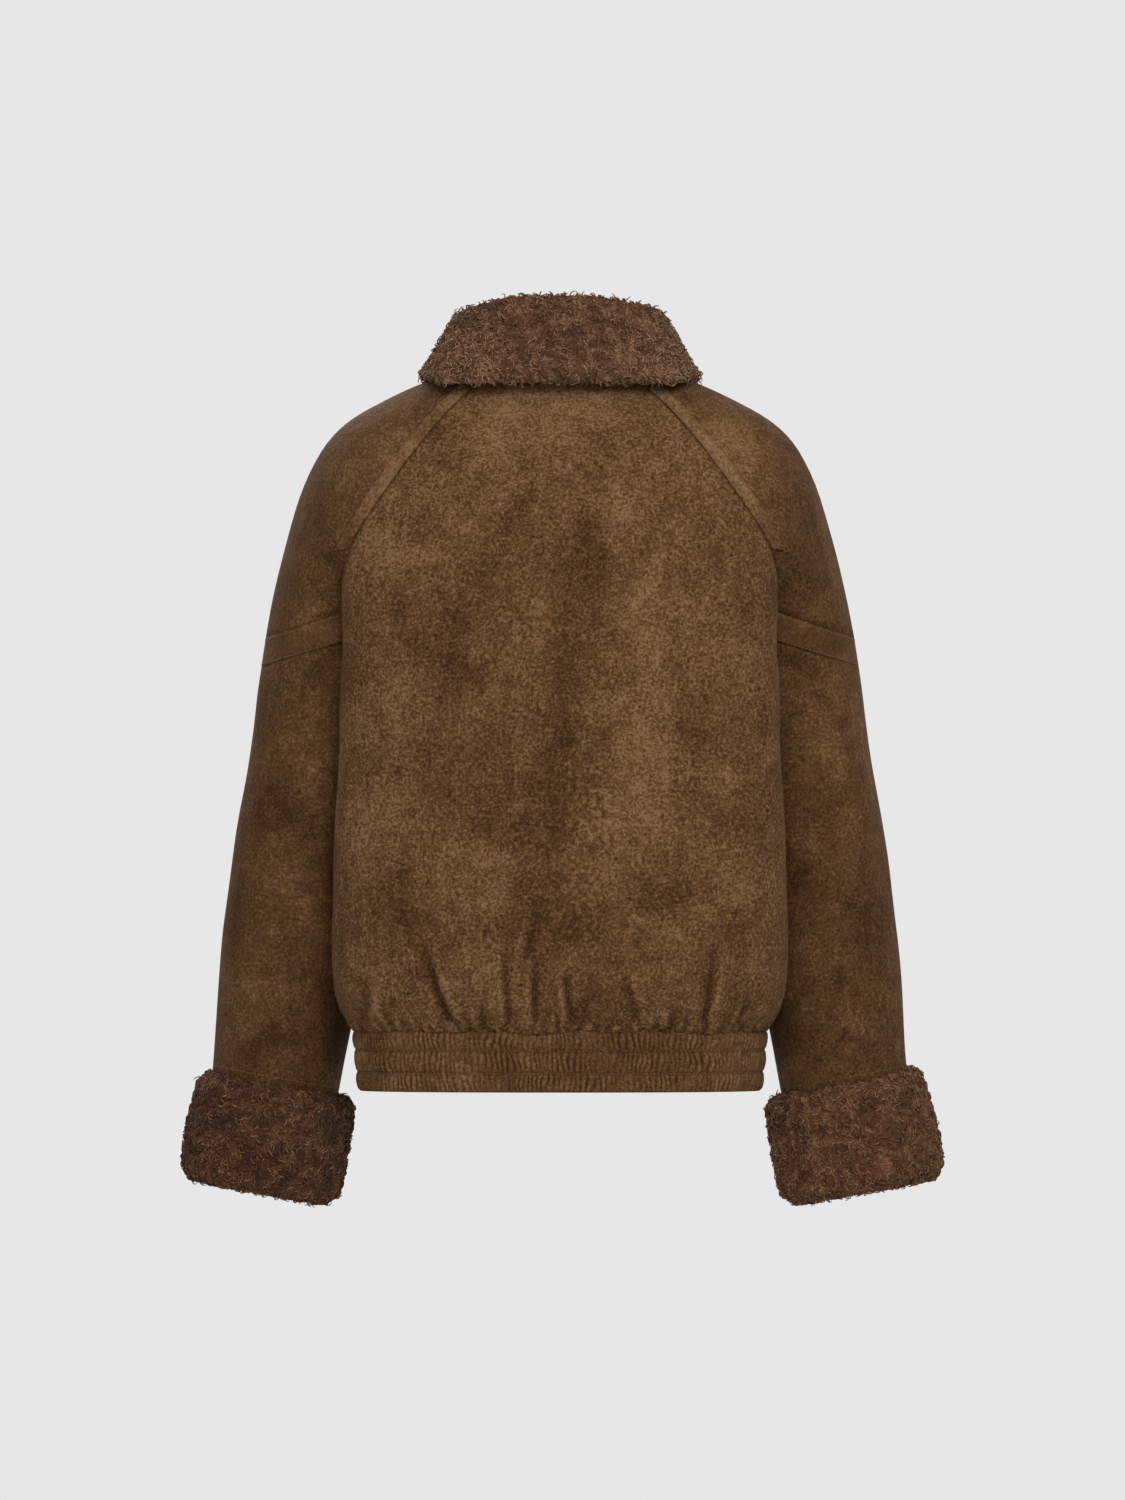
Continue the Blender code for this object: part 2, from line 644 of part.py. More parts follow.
def sleeve_skin(skin):
    """Both sleeves, each in an upper part, a band and a lower part."""
    rows = [keyed(row, 0, 1) for row in sleeve_rows()]
    for mirror, side in ((False, "right"), (True, "left")):
        for index, (upper, lower) in enumerate(zip(rows, rows[1:])):
            if index < BAND_FIRST_ROW:
                panel = f"sleeve_upper_{side}"
            elif index < BAND_LAST_ROW:
                panel = f"sleeve_band_{side}"
            else:
                panel = f"sleeve_lower_{side}"
            skin.strip(panel, upper, lower, mirror)
            if WELT_FIRST_ROW <= index < WELT_LAST_ROW:
                made = skin.faces[panel][-4 * SLEEVE_QUARTERS:]
                skin.faces.setdefault(f"raglan_welt_back_{side}", []).extend(made[:2])
                skin.faces.setdefault(f"raglan_welt_front_{side}", []).extend(made[-2:])


def gather_skin(skin):
    """Move the skin's lower points into the gathers, and let its seam with the band wander."""
    skin.bm.normal_update()
    faces = skin.faces["back"] + skin.faces["front_left"] + skin.faces["front_right"]
    moved = {}
    for vert in dict.fromkeys(vert for face in faces for vert in face.verts):
        x, y, z = vert.co
        if z > GATHER_LIMIT:
            continue
        section = smooth_table(TORSO, "z", z)
        gathers = BACK_GATHERS
        if y > section.side_y:
            gathers = FRONT_GATHERS + tuple(
                fold._replace(top_x=-fold.top_x, foot_x=-fold.foot_x) for fold in FRONT_GATHERS
            )
        place = gathered((x, y, z), vert.normal, gathers)
        if z == min(z, HEM_TOP + SEAM_GAP):
            place[2] += seam_wave(place[0], place[1])
        moved[vert] = place
    for vert, place in moved.items():
        vert.co = place


# ---- Solids ------------------------------------------------------------------------------------
def link(name, bm, finish):
    """A named object with its own material from a bmesh in millimetres."""
    bmesh.ops.scale(bm, vec=(MM, MM, MM), verts=bm.verts)
    mesh = bpy.data.meshes.new(name)
    bm.to_mesh(mesh)
    bm.free()
    material = bpy.data.materials.new(name)
    material.use_nodes = True
    shader = material.node_tree.nodes["Principled BSDF"]
    shader.inputs["Base Color"].default_value = finish.colour
    shader.inputs["Roughness"].default_value = finish.roughness
    shader.inputs["Metallic"].default_value = finish.metallic
    mesh.materials.append(material)
    mesh.shade_smooth()
    mesh.set_sharp_from_angle(angle=math.radians(SHARP_ANGLE))
    piece = bpy.data.objects.new(name, mesh)
    bpy.data.collections[COLLECTION].objects.link(piece)
    return piece


def open_edges(face, inside):
    """The loops of a panel's face along the panel's own edge."""
    return [
        loop for loop in face.loops
        if not any(other in inside for other in loop.edge.link_faces if other != face)
    ]


def skin_order(vert):
    """An order of the skin's points that is the same on the left as on the right."""
    return (round(abs(vert.co.x), 2), round(vert.co.y, 2), round(vert.co.z, 2))


def edge_pulls(faces, gap):
    """For each point on a panel's edge, the move that parts it from its neighbour by the gap."""
    inside = set(faces)
    sums = {}
    for face in faces:
        for loop in open_edges(face, inside):
            along = (loop.link_loop_next.vert.co - loop.vert.co).normalized()
            inwards = face.normal.cross(along)
            for vert in (loop.vert, loop.link_loop_next.vert):
                flat = inwards - vert.normal * inwards.dot(vert.normal)
                way = flat.normalized() if flat.length > FLAT_ENOUGH else inwards
                sums.setdefault(vert, []).append(way)
    pulls = {}
    for vert, ways in sums.items():
        total = sum(ways[1:], ways[0])
        spread = max(total.dot(ways[0]), LEAST_SPREAD)
        pulls[vert] = total * (gap / 2 / spread)
    return pulls


def on_hem(point):
    """Whether a point of the skin lies on the seam with the hem band."""
    return abs(point.z - HEM_TOP) < WAVE_LIMIT


def wall_from_skin(skin, name, finish, outer, inner):
    """A panel's closed wall between two offsets from its part of the skin, level at the hem."""
    faces = skin.faces[name]
    inside = set(faces)
    pulls = edge_pulls(faces, SEAM_GAP)
    bm = bmesh.new()
    sides = {}
    for vert in dict.fromkeys(v for face in faces for v in face.verts):
        normal = vert.normal.copy()
        if on_hem(vert.co) and not name.startswith("sleeve"):
            normal.z = 0.0
            normal.normalize()
        base = vert.co + pulls.get(vert, normal * 0.0)
        sides[vert] = (bm.verts.new(base + normal * outer), bm.verts.new(base + normal * inner))
    for face in faces:
        bm.faces.new([sides[v][0] for v in face.verts])
        bm.faces.new([sides[v][1] for v in reversed(face.verts)])
        for loop in open_edges(face, inside):
            a, b = sides[loop.vert], sides[loop.link_loop_next.vert]
            if skin_order(loop.vert) < skin_order(loop.link_loop_next.vert):
                corners = [(b[0], a[0], b[1]), (a[0], a[1], b[1])]
            else:
                corners = [(b[0], a[0], a[1]), (b[0], a[1], b[1])]
            for three in corners:
                bm.faces.new(three)
    return link(name, bm, finish)


def loft(name, rings, finish, closed):
    """A solid through rings of points: a closed one joins its last ring to its first."""
    bm = bmesh.new()
    loops = [[bm.verts.new(point) for point in ring] for ring in rings]
    pairs = list(zip(loops, loops[1:]))
    if closed:
        pairs.append((loops[-1], loops[0]))
    for one, other in pairs:
        for i, vert in enumerate(one):
            j = (i + 1) % len(one)
            bm.faces.new([vert, one[j], other[j], other[i]])
    if not closed:
        bm.faces.new(loops[0][::-1])
        bm.faces.new(loops[-1])
    bmesh.ops.recalc_face_normals(bm, faces=bm.faces)
    return link(name, bm, finish)


# ---- Hem band ----------------------------------------------------------------------------------
class HemPlan:
    """The band's plan, which is the torso's own section where the two are sewn together."""

    def __init__(self):
        section = smooth_table(TORSO, "z", HEM_TOP)
        half = np.array(egg(section, 0.0, 2.0))[:, :2]
        steps = np.linalg.norm(np.diff(half, axis=0), axis=1)
        self.along = np.concatenate([[0.0], np.cumsum(steps)])
        self.half = half
        self.length = self.along[-1]
        side = int(np.argmin(np.abs(half[:, 1] - section.side_y) - half[:, 0]))
        self.side_share = self.along[side] / self.length

    def at(self, share, out):
        """A point this share of the way from the middle of the back to that of the front."""
        wanted = abs(share) * self.length
        here = self.place(wanted)
        ahead = self.place(min(wanted + PLAN_STEP, self.length))
        behind = self.place(max(wanted - PLAN_STEP, 0.0))
        along = (ahead - behind) / np.linalg.norm(ahead - behind)
        x = here[0] + along[1] * out
        y = here[1] - along[0] * out
        return math.copysign(x, share), y

    def place(self, wanted):
        """The plan's point at a distance from the middle of the back."""
        return np.array([np.interp(wanted, self.along, self.half[:, axis]) for axis in (0, 1)])


def hem_rows():
    """The height and the outward puff of each row of the band, from its top seam down."""
    edges = (HEM_TOP,) + HEM_CHANNELS + (HEM_BOTTOM,)
    rows = [(HEM_TOP - SEAM_GAP, 0.0, RIB_SHARE_AT_CHANNEL)]
    for upper, lower in zip(edges, edges[1:]):
        rows.append(((upper + lower) / 2, TIER_PUFF, 1.0))
        rows.append((lower, 0.0, RIB_SHARE_AT_CHANNEL))
    return rows


def wander_share(z):
    """How much of the top seam's wandering reaches a row of the band: none at the channel."""
    share = (z - HEM_CHANNELS[0]) / (HEM_TOP - SEAM_GAP - HEM_CHANNELS[0])
    return min(max(share, 0.0), 1.0)


def rib_height(place):
    """The height of the ribbing at a place counted in ribs, uneven from rib to rib."""
    rib = math.floor(place)
    unevenness = RIB_UNEVENNESS * (1 - math.sin(2.3 * rib + 0.7) * math.sin(0.9 * rib))
    return RIB_HEIGHT * (1 - unevenness) * (0.5 - 0.5 * math.cos(2 * math.pi * (place - rib)))


def hem_panel(name, plan, first, last, ribs, sign):
    """One piece of the ribbed band between two shares of the way round, over a plain inside."""
    columns = 2 * ribs
    bm = bmesh.new()
    lean = -HEM_FOOT_IN / (HEM_TOP - HEM_BOTTOM)
    outside = []
    inside = []
    for z, puff, rib_share in hem_rows():
        foot = lean * (HEM_TOP - z)
        line = []
        for column in range(columns + 1):
            share = first + (last - first) * column / columns
            raised = rib_share * rib_height(column / 2)
            x, y = plan.at(share, foot + puff + raised)
            wander = seam_wave(sign * x, y) * wander_share(z)
            line.append((column / columns, bm.verts.new((sign * x, y, z + wander))))
        outside.append(line)
    for z in (HEM_TOP - 3 * SEAM_GAP, HEM_BOTTOM):
        foot = lean * (HEM_TOP - z)
        line = []
        for column in range(HEM_INSIDE_COLUMNS + 1):
            share = first + (last - first) * column / HEM_INSIDE_COLUMNS
            x, y = plan.at(share, foot - HEM_WALL)
            wander = seam_wave(sign * x, y) * wander_share(z)
            line.append((column / HEM_INSIDE_COLUMNS, bm.verts.new((sign * x, y, z + wander))))
        inside.append(line)
    for upper, lower in zip(outside, outside[1:]):
        for corners in bridged(upper, lower):
            bm.faces.new(corners)
    for corners in bridged(inside[0], inside[1]):
        bm.faces.new(corners)
    for corners in bridged(outside[0], inside[0]) + bridged(outside[-1], inside[-1]):
        bm.faces.new(corners)
    heights = [row[0] for row in hem_rows()]
    for end in (0, -1):
        ends = [(-z, line[end][1]) for z, line in zip(heights, outside)]
        inner = [(-heights[0], inside[0][end][1]), (-heights[-1], inside[1][end][1])]
        for corners in bridged(ends, inner):
            bm.faces.new(corners)
    bmesh.ops.recalc_face_normals(bm, faces=bm.faces)
    return link(name, bm, SUEDE)


# ---- Collar and cuffs --------------------------------------------------------------------------
def neckline(place):
    """A point of the neckline: its whole numbers are the middle of the back and the seams."""
    first = RAGLAN[0]
    back = np.array([point for _, point in back_upper_rows()[0]])
    sleeve = sleeve_rows()[0]
    front = np.array([point for _, point in front_upper_rows()[0]])[::-1]
    stretch = min(int(place), 2)
    points = evenly((back, sleeve, front)[stretch], NECK_SAMPLES - 1)
    at = np.linspace(0.0, 1.0, NECK_SAMPLES)
    share = place - stretch
    return np.array([np.interp(share, at, points[:, axis]) for axis in range(3)])


def collar_ring(section, neck):
    """The hairpin section of the collar where the neckline passes this point."""
    neck = neck + np.array([0.0, 0.0, COLLAR_LIFT])
    roll = np.array([section.roll_x, section.roll_y, section.roll_z])
    fall = np.array([section.fall_x, section.fall_y, section.fall_z])
    out = (fall - neck) * np.array([1.0, 1.0, 0.0])
    out /= np.linalg.norm(out)
    up = np.array([0.0, 0.0, 1.0])
    lines = {"stand": (neck, roll - neck), "fall": (roll, fall - roll)}
    ring = []
    for point in COLLAR_SECTION:
        start, reach = lines[point.line]
        ring.append(start + reach * point.share + out * point.out + up * point.up)
    return ring


def collar():
    """The turned-down collar, round the neck from one front end to the other."""
    half = []
    ends = (0.0, 1.0, 2.0, COLLAR_END)
    places = [0.0]
    for start, stop, steps in zip(ends, ends[1:], COLLAR_STEPS):
        places += list(np.linspace(start, stop, steps + 1))[1:]
    for place in reversed(places):
        half.append(collar_ring(smooth_table(COLLAR, "place", place), neckline(place)))
    mirror = np.array([-1.0, 1.0, 1.0])
    other = [[point * mirror for point in ring] for ring in half[:-1]]
    loft("collar", half + other[::-1], SHEARLING, closed=False)


def cuff(side, sign):
    """One turned-back cuff round the end of a sleeve, its lower edge turned in under it."""
    top = sleeve_row(CUFF_TOP)[:-1]
    foot = sleeve_row(SLEEVE_END)[:-1]
    length = np.linalg.norm(foot.mean(axis=0) - top.mean(axis=0))
    rings = []
    for i in range(len(top)):
        down = (foot[i] - top[i]) / length
        along = top[(i + 1) % len(top)] - top[i - 1]
        out = np.cross(down, along)
        out /= np.linalg.norm(out)
        ring = [top[i] + down * point.down + out * point.out for point in CUFF_SECTION]
        rings.append([point * np.array([sign, 1.0, 1.0]) for point in ring])
    loft(f"cuff_{side}", rings, SHEARLING, closed=True)


# ---- Slider and pull tab -----------------------------------------------------------------------
def arc(middle, radius, start, stop):
    """Points on an arc between two angles in degrees."""
    turns = np.radians(np.linspace(start, stop, ARC_STEPS + 1))
    return [(middle[0] + radius * math.cos(t), middle[1] + radius * math.sin(t)) for t in turns]


def slider_frame():
    """The place on the zip where the slider sits, the way down the zip and the way out of it."""
    above = smooth_table(FRONT_CENTRE, "z", SLIDER_Z + SLIDER_LENGTH / 2)
    below = smooth_table(FRONT_CENTRE, "z", SLIDER_Z - SLIDER_LENGTH / 2)
    down = Vector((0.0, below.y - above.y, below.z - above.z)).normalized()
    out = Vector((0.0, -down.z, down.y))
    middle = Vector((0.0, (above.y + below.y) / 2, SLIDER_Z))
    return middle - out * (TAPE_SINK - SEAM_GAP), down, out


def plate(name, outlines, thickness, place, across, up, finish):
    """A flat plate of metal from outlines in millimetres, the first its rim and others holes."""
    curve = bpy.data.curves.new(name, "CURVE")
    curve.dimensions = "2D"
    curve.fill_mode = "BOTH"
    curve.extrude = thickness / 2 * MM
    for outline in outlines:
        spline = curve.splines.new("POLY")
        spline.points.add(len(outline) - 1)
        for point, (u, v) in zip(spline.points, outline):
            point.co = (u * MM, v * MM, 0.0, 1.0)
        spline.use_cyclic_u = True
    flat = bpy.data.objects.new(name, curve)
    mesh = bpy.data.meshes.new_from_object(flat)
    bpy.data.objects.remove(flat)
    bm = bmesh.new()
    bm.from_mesh(mesh)
    bmesh.ops.remove_doubles(bm, verts=bm.verts, dist=PLATE_MERGE)
    bmesh.ops.recalc_face_normals(bm, faces=bm.faces)
    bmesh.ops.scale(bm, vec=(1 / MM, 1 / MM, 1 / MM), verts=bm.verts)
    piece = link(name, bm, finish)
    turn = Matrix((across, up, across.cross(up))).transposed().to_4x4()
    piece.matrix_world = Matrix.Translation(place * MM) @ turn
    return piece


def zip_pull():
    """The slider on the closed zip, the bail on it, and the pull tab that hangs from the bail."""
    middle, down, out = slider_frame()
    side = Vector((1.0, 0.0, 0.0))
    bm = bmesh.new()
    bmesh.ops.create_cube(bm, size=1.0)
    bmesh.ops.scale(bm, vec=(SLIDER_WIDTH, SLIDER_LENGTH, SLIDER_THICK), verts=bm.verts)
    bmesh.ops.bevel(bm, geom=bm.edges, offset=SLIDER_CHAMFER, segments=2, affect="EDGES")
    slider = link("zip_slider", bm, BRASS)
    turn = Matrix((side, -down, -out)).transposed().to_4x4()
    slider.matrix_world = Matrix.Translation((middle + out * SLIDER_THICK / 2) * MM) @ turn

    foot = middle + out * (SLIDER_THICK + SEAM_GAP) - down * BAIL_DOWN
    inside = BAIL_INSIDE / 2
    outside = inside + BAIL_METAL
    arch = [(outside, 0.0)] + arc((0.0, HINGE_RISE), outside, 0, 180) + [(-outside, 0.0)]
    arch += [(-inside, 0.0)] + arc((0.0, HINGE_RISE), inside, 180, 0) + [(inside, 0.0)]
    plate("zip_bail", [arch], BAIL_WIDTH, foot, down, out, BRASS)

    half_bar = TAB_BAR / 2
    top = TAB_TOP_WIDTH / 2
    end = TAB_END_WIDTH / 2
    rim = [(-top, half_bar)] + arc((0.0, end - TAB_LENGTH), end, 180, 360) + [(top, half_bar)]
    eye = TAB_EYE_WIDTH / 2
    hole = [(-eye, -half_bar), (eye, -half_bar)]
    hole += arc((0.0, -half_bar - TAB_EYE_LENGTH + eye), eye, 0, -180)
    lean = Matrix.Rotation(math.radians(-TAB_LEAN), 3, side)
    hinge = foot + out * HINGE_RISE
    plate("zip_pull_tab", [rim, hole], TAB_THICK, hinge, side, lean @ -down, BRASS)


def main():
    """Build the jacket."""
    for item in list(bpy.data.objects):
        bpy.data.objects.remove(item, do_unlink=True)
    collection = bpy.data.collections.new(COLLECTION)
    bpy.context.scene.collection.children.link(collection)
    skin = Skin()
    torso_skin(skin)
    sleeve_skin(skin)
    gather_skin(skin)
    skin.bm.normal_update()
    plan = HemPlan()
    wall_from_skin(skin, "back", SUEDE, 0.0, -WALL)
    for side, sign in (("right", 1), ("left", -1)):
        wall_from_skin(skin, f"front_{side}", SUEDE, 0.0, -WALL)
        wall_from_skin(skin, f"zip_tape_{side}", TAPE, -TAPE_SINK, -TAPE_SINK - TAPE_WALL)
        wall_from_skin(skin, f"sleeve_upper_{side}", SUEDE, 0.0, -WALL)
        wall_from_skin(skin, f"sleeve_band_{side}", SUEDE, 0.0, -WALL)
        wall_from_skin(skin, f"sleeve_lower_{side}", SUEDE, 0.0, -WALL)
        for part in ("back", "front"):
            name = f"raglan_welt_{part}_{side}"
            wall_from_skin(skin, name, SUEDE, SEAM_GAP + WELT_WALL, SEAM_GAP)
        first = plan.side_share + SEAM_GAP / 2 / plan.length
        last = 1 - (ZIP_HALF_WIDTH + SEAM_GAP / 2) / plan.length
        hem_panel(f"hem_front_{side}", plan, first, last, FRONT_RIBS, sign)
        cuff(side, sign)
    reach = plan.side_share - SEAM_GAP / 2 / plan.length
    hem_panel("hem_back", plan, -reach, reach, BACK_RIBS, 1)
    collar()
    zip_pull()


main()
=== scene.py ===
"""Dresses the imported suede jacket: brushed suede panels, curly shearling, stitching and a zip.

Each suede panel is a finer shell on its solid's form, with its creases and gathers pressed in. The
collar and the cuffs are pelts of short curled locks over a bumpy base. Lengths are in metres.
"""

from __future__ import annotations

import itertools
import json
import logging
import math
from collections.abc import Callable, Iterable, Mapping, Sequence
from dataclasses import dataclass, field, replace
from enum import Enum

import bmesh
import bpy
import numpy as np
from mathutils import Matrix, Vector
from mathutils.bvhtree import BVHTree

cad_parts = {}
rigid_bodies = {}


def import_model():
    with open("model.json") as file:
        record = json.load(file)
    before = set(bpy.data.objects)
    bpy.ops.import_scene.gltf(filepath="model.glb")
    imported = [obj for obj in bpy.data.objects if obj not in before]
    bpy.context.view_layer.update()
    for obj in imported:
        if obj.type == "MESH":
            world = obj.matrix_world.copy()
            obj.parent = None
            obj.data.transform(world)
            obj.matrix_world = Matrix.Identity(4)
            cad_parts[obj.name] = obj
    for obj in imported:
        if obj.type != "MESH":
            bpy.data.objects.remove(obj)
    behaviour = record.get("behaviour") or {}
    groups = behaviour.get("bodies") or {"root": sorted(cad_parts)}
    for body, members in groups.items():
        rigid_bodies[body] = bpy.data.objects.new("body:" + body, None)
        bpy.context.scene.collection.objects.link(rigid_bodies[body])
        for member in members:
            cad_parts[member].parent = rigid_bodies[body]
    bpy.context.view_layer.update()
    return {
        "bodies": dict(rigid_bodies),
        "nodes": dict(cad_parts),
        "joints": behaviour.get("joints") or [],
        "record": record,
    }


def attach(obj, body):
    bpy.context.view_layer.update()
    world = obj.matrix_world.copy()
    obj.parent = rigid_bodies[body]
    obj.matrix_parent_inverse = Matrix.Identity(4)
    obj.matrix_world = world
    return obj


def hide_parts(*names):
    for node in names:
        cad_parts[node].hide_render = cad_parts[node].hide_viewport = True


LOG = logging.getLogger("suede_jacket")
MM = 0.001
JACKET = "jacket"
HANDS = ("left", "right")

Colour = tuple[float, float, float]
Frame = Mapping[str, Mapping[str, bpy.types.Object]]
OverPoints = Callable[[np.ndarray], np.ndarray]
PlacesAndWays = tuple[np.ndarray, np.ndarray]


def srgb(red: float, green: float, blue: float) -> Colour:
    """A linear colour from screen values between 0 and 255.

    Args:
        red: The red value.
        green: The green value.
        blue: The blue value.

    Returns:
        The colour's three linear channels.
    """
    def linear(value: float) -> float:
        """One channel made linear."""
        value /= 255.0
        return value / 12.92 if value <= 0.04045 else ((value + 0.055) / 1.055) ** 2.4

    return (linear(red), linear(green), linear(blue))


# ---- Shaders -----------------------------------------------------------------------------------
class Amount:
    """A number socket that can be written into sums, each of which adds its Math nodes."""

    def __init__(self, nodes: Nodes, socket: bpy.types.NodeSocket) -> None:
        """Wraps one output socket of a node."""
        self.nodes = nodes
        self.socket = socket

    def _with(self, operation: str, first: object, second: object = 0.0) -> Amount:
        """A Math node on one or two values, as a new amount."""
        node = self.nodes.node("ShaderNodeMath", {"operation": operation}, {0: first, 1: second})
        return Amount(self.nodes, node.outputs[0])

    def __add__(self, other: object) -> Amount:
        """The sum of two amounts."""
        return self._with("ADD", self, other)

    __radd__ = __add__

    def __sub__(self, other: object) -> Amount:
        """This amount less another."""
        return self._with("SUBTRACT", self, other)

    def __rsub__(self, other: object) -> Amount:
        """Another amount less this one."""
        return self._with("SUBTRACT", other, self)

    def __mul__(self, other: object) -> Amount:
        """The product of two amounts."""
        return self._with("MULTIPLY", self, other)

    __rmul__ = __mul__

    def absolute(self) -> Amount:
        """This amount without its sign."""
        return self._with("ABSOLUTE", self)

    def sine(self) -> Amount:
        """The sine of this amount, which is in radians."""
        return self._with("SINE", self)

    def clamped(self) -> Amount:
        """This amount kept between 0 and 1."""
        least = self._with("MAXIMUM", self, 0.0)
        return least._with("MINIMUM", least, 1.0)


class Nodes:
    """A node tree that nodes are added to, each with its settings and its sockets' values."""

    def __init__(self, tree: bpy.types.NodeTree) -> None:
        """Takes up one tree."""
        self.tree = tree

    def node(
        self,
        kind: str,
        settings: Mapping[str, object] | None = None,
        values: Mapping[str | int, object] | None = None,
    ) -> bpy.types.Node:
        """Adds any node: its settings first, then its sockets.

        Args:
            kind: The node's type.
            settings: Its properties by name; "stops" gives a ramp's places and colours.
            values: What its sockets hold or are linked to, by name or number.

        Returns:
            The new node.
        """
        node = self.tree.nodes.new(kind)
        for name, setting in (settings or {}).items():
            if name == "stops":
                ramp = node.color_ramp.elements
                while len(ramp) < len(setting):
                    ramp.new(1.0)
                for element, (place, colour) in zip(ramp, setting):
                    element.position = place
                    element.color = (*colour, 1.0)
            else:
                setattr(node, name, setting)
        for name, value in (values or {}).items():
            self.feed(node.inputs[name], value)
        return node

    def feed(self, target: bpy.types.NodeSocket, value: object) -> None:
        """Links or sets one input socket.

        Args:
            target: The input socket.
            value: An amount or an output to link, or the value that it holds.
        """
        if isinstance(value, Amount):
            self.tree.links.new(value.socket, target)
        elif isinstance(value, bpy.types.NodeSocket):
            self.tree.links.new(value, target)
        elif isinstance(value, tuple) and len(value) == 3 and len(target.default_value) == 4:
            target.default_value = (*value, 1.0)
        else:
            target.default_value = value


class Shader(Nodes):
    """One material's node tree, built around its Principled shader."""

    def __init__(self, name: str) -> None:
        """Starts a material with nothing linked.

        Args:
            name: The material's name.
        """
        self.material = bpy.data.materials.new(name)
        self.material.use_nodes = True
        super().__init__(self.material.node_tree)
        self.principled = self.tree.nodes["Principled BSDF"]
        self.place = self.node("ShaderNodeTexCoord").outputs["Object"]

    def set(self, **values: object) -> None:
        """Sets or links the Principled shader's sockets, with _ for each space."""
        for name, value in values.items():
            self.feed(self.principled.inputs[name.replace("_", " ")], value)

    def stretched(self, across: float, along: float, up: float) -> bpy.types.NodeSocket:
        """The place on the object with each axis scaled by its own factor.

        Args:
            across: The factor for x.
            along: The factor for y.
            up: The factor for z.

        Returns:
            The scaled place.
        """
        settings = {"operation": "MULTIPLY"}
        values = {0: self.place, 1: (across, along, up)}
        return self.node("ShaderNodeVectorMath", settings, values).outputs[0]

    def noise(
        self,
        size: float,
        detail: float = 2.0,
        roughness: float = 0.5,
        distortion: float = 0.0,
        place: bpy.types.NodeSocket | None = None,
    ) -> Amount:
        """Smooth noise with features of about this size in metres.

        Args:
            size: The size of the largest features.
            detail: How many finer layers it has.
            roughness: How strong the finer layers are.
            distortion: How far the features curl.
            place: Where it is read, the place on the object unless given.

        Returns:
            Noise between 0 and 1.
        """
        values = {
            "Vector": place or self.place,
            "Scale": 1.0 / size,
            "Detail": detail,
            "Roughness": roughness,
            "Distortion": distortion,
        }
        node = self.node("ShaderNodeTexNoise", {"noise_dimensions": "3D"}, values)
        return Amount(self, node.outputs["Fac"])

    def painted(self, name: str) -> Amount:
        """An amount that a piece carries on its points."""
        settings = {"attribute_type": "GEOMETRY", "attribute_name": name}
        return Amount(self, self.node("ShaderNodeAttribute", settings).outputs["Fac"])

    def ramp(self, amount: Amount, *stops: tuple[float, Colour]) -> bpy.types.NodeSocket:
        """A colour that changes with an amount."""
        return self.node("ShaderNodeValToRGB", {"stops": stops}, {"Fac": amount}).outputs["Color"]

    def mixed(self, share: object, one: object, other: object) -> bpy.types.NodeSocket:
        """One colour turning into another as the share goes from 0 to 1."""
        values = {"Factor": share, 6: one, 7: other}
        return self.node("ShaderNodeMix", {"data_type": "RGBA"}, values).outputs[2]

    def bump(self, height: Amount, rise: float) -> None:
        """Makes the surface rise by this many metres where the height is 1."""
        values = {"Height": height, "Distance": rise, "Strength": 1.0}
        self.set(Normal=self.node("ShaderNodeBump", None, values).outputs["Normal"])


# ---- Finishes ----------------------------------------------------------------------------------
@dataclass(frozen=True)
class Suede:
    """Brushed suede: cloudy patches where the nap lies differently, over a fine grain."""

    name: str
    tone: float = 0.0
    dark: Colour = srgb(58, 36, 17)
    middle: Colour = srgb(96, 67, 38)
    light: Colour = srgb(138, 107, 74)
    cloud: float = 0.062
    blotch: float = 0.013
    grain: float = 0.0025
    speckle: float = 1.0
    cloud_share: float = 0.78
    blotch_share: float = 0.66
    brushed_share: float = 0.35
    grain_share: float = 3.0
    nap_and_shade_share: float = 0.36
    relief: float = 0.0010

    def material(self) -> bpy.types.Material:
        """Builds the suede's material.

        Returns:
            The material, which reads from the points the painted shade of folds and the patches.
        """
        shader = Shader(self.name)
        clouds = shader.noise(self.cloud, 3.0, 0.55, 0.4)
        blotches = shader.noise(self.blotch, 4.0, 0.62, 0.3)
        brushed = shader.noise(0.010, 3.0, 0.6, 0.0, shader.stretched(1.0, 1.0, 0.25))
        grain = shader.noise(self.grain, 4.0, 0.72, 0.15)
        # Painted shade and light from the points: darker in the troughs of folds, puckers and ribs,
        # lighter on their ridges, plus the patches.
        nap_and_shade_amount = shader.painted("nap")
        tone = (
            0.5
            + self.tone
            + (clouds - 0.5) * self.cloud_share
            + (blotches - 0.5) * self.blotch_share
            + (brushed - 0.5) * self.brushed_share
            + (grain - 0.5) * (self.grain_share * self.speckle)
            + nap_and_shade_amount * self.nap_and_shade_share
        )
        colour = shader.ramp(tone, (0.0, self.dark), (0.5, self.middle), (1.0, self.light))
        shader.set(Base_Color=colour, Roughness=0.86 + grain * 0.12)
        shader.set(Sheen_Weight=0.06, Sheen_Roughness=0.45, Sheen_Tint=(0.80, 0.58, 0.38, 1.0))
        shader.set(Specular_IOR_Level=0.12)
        shader.bump(grain * self.speckle + blotches * 0.5, self.relief)
        return shader.material


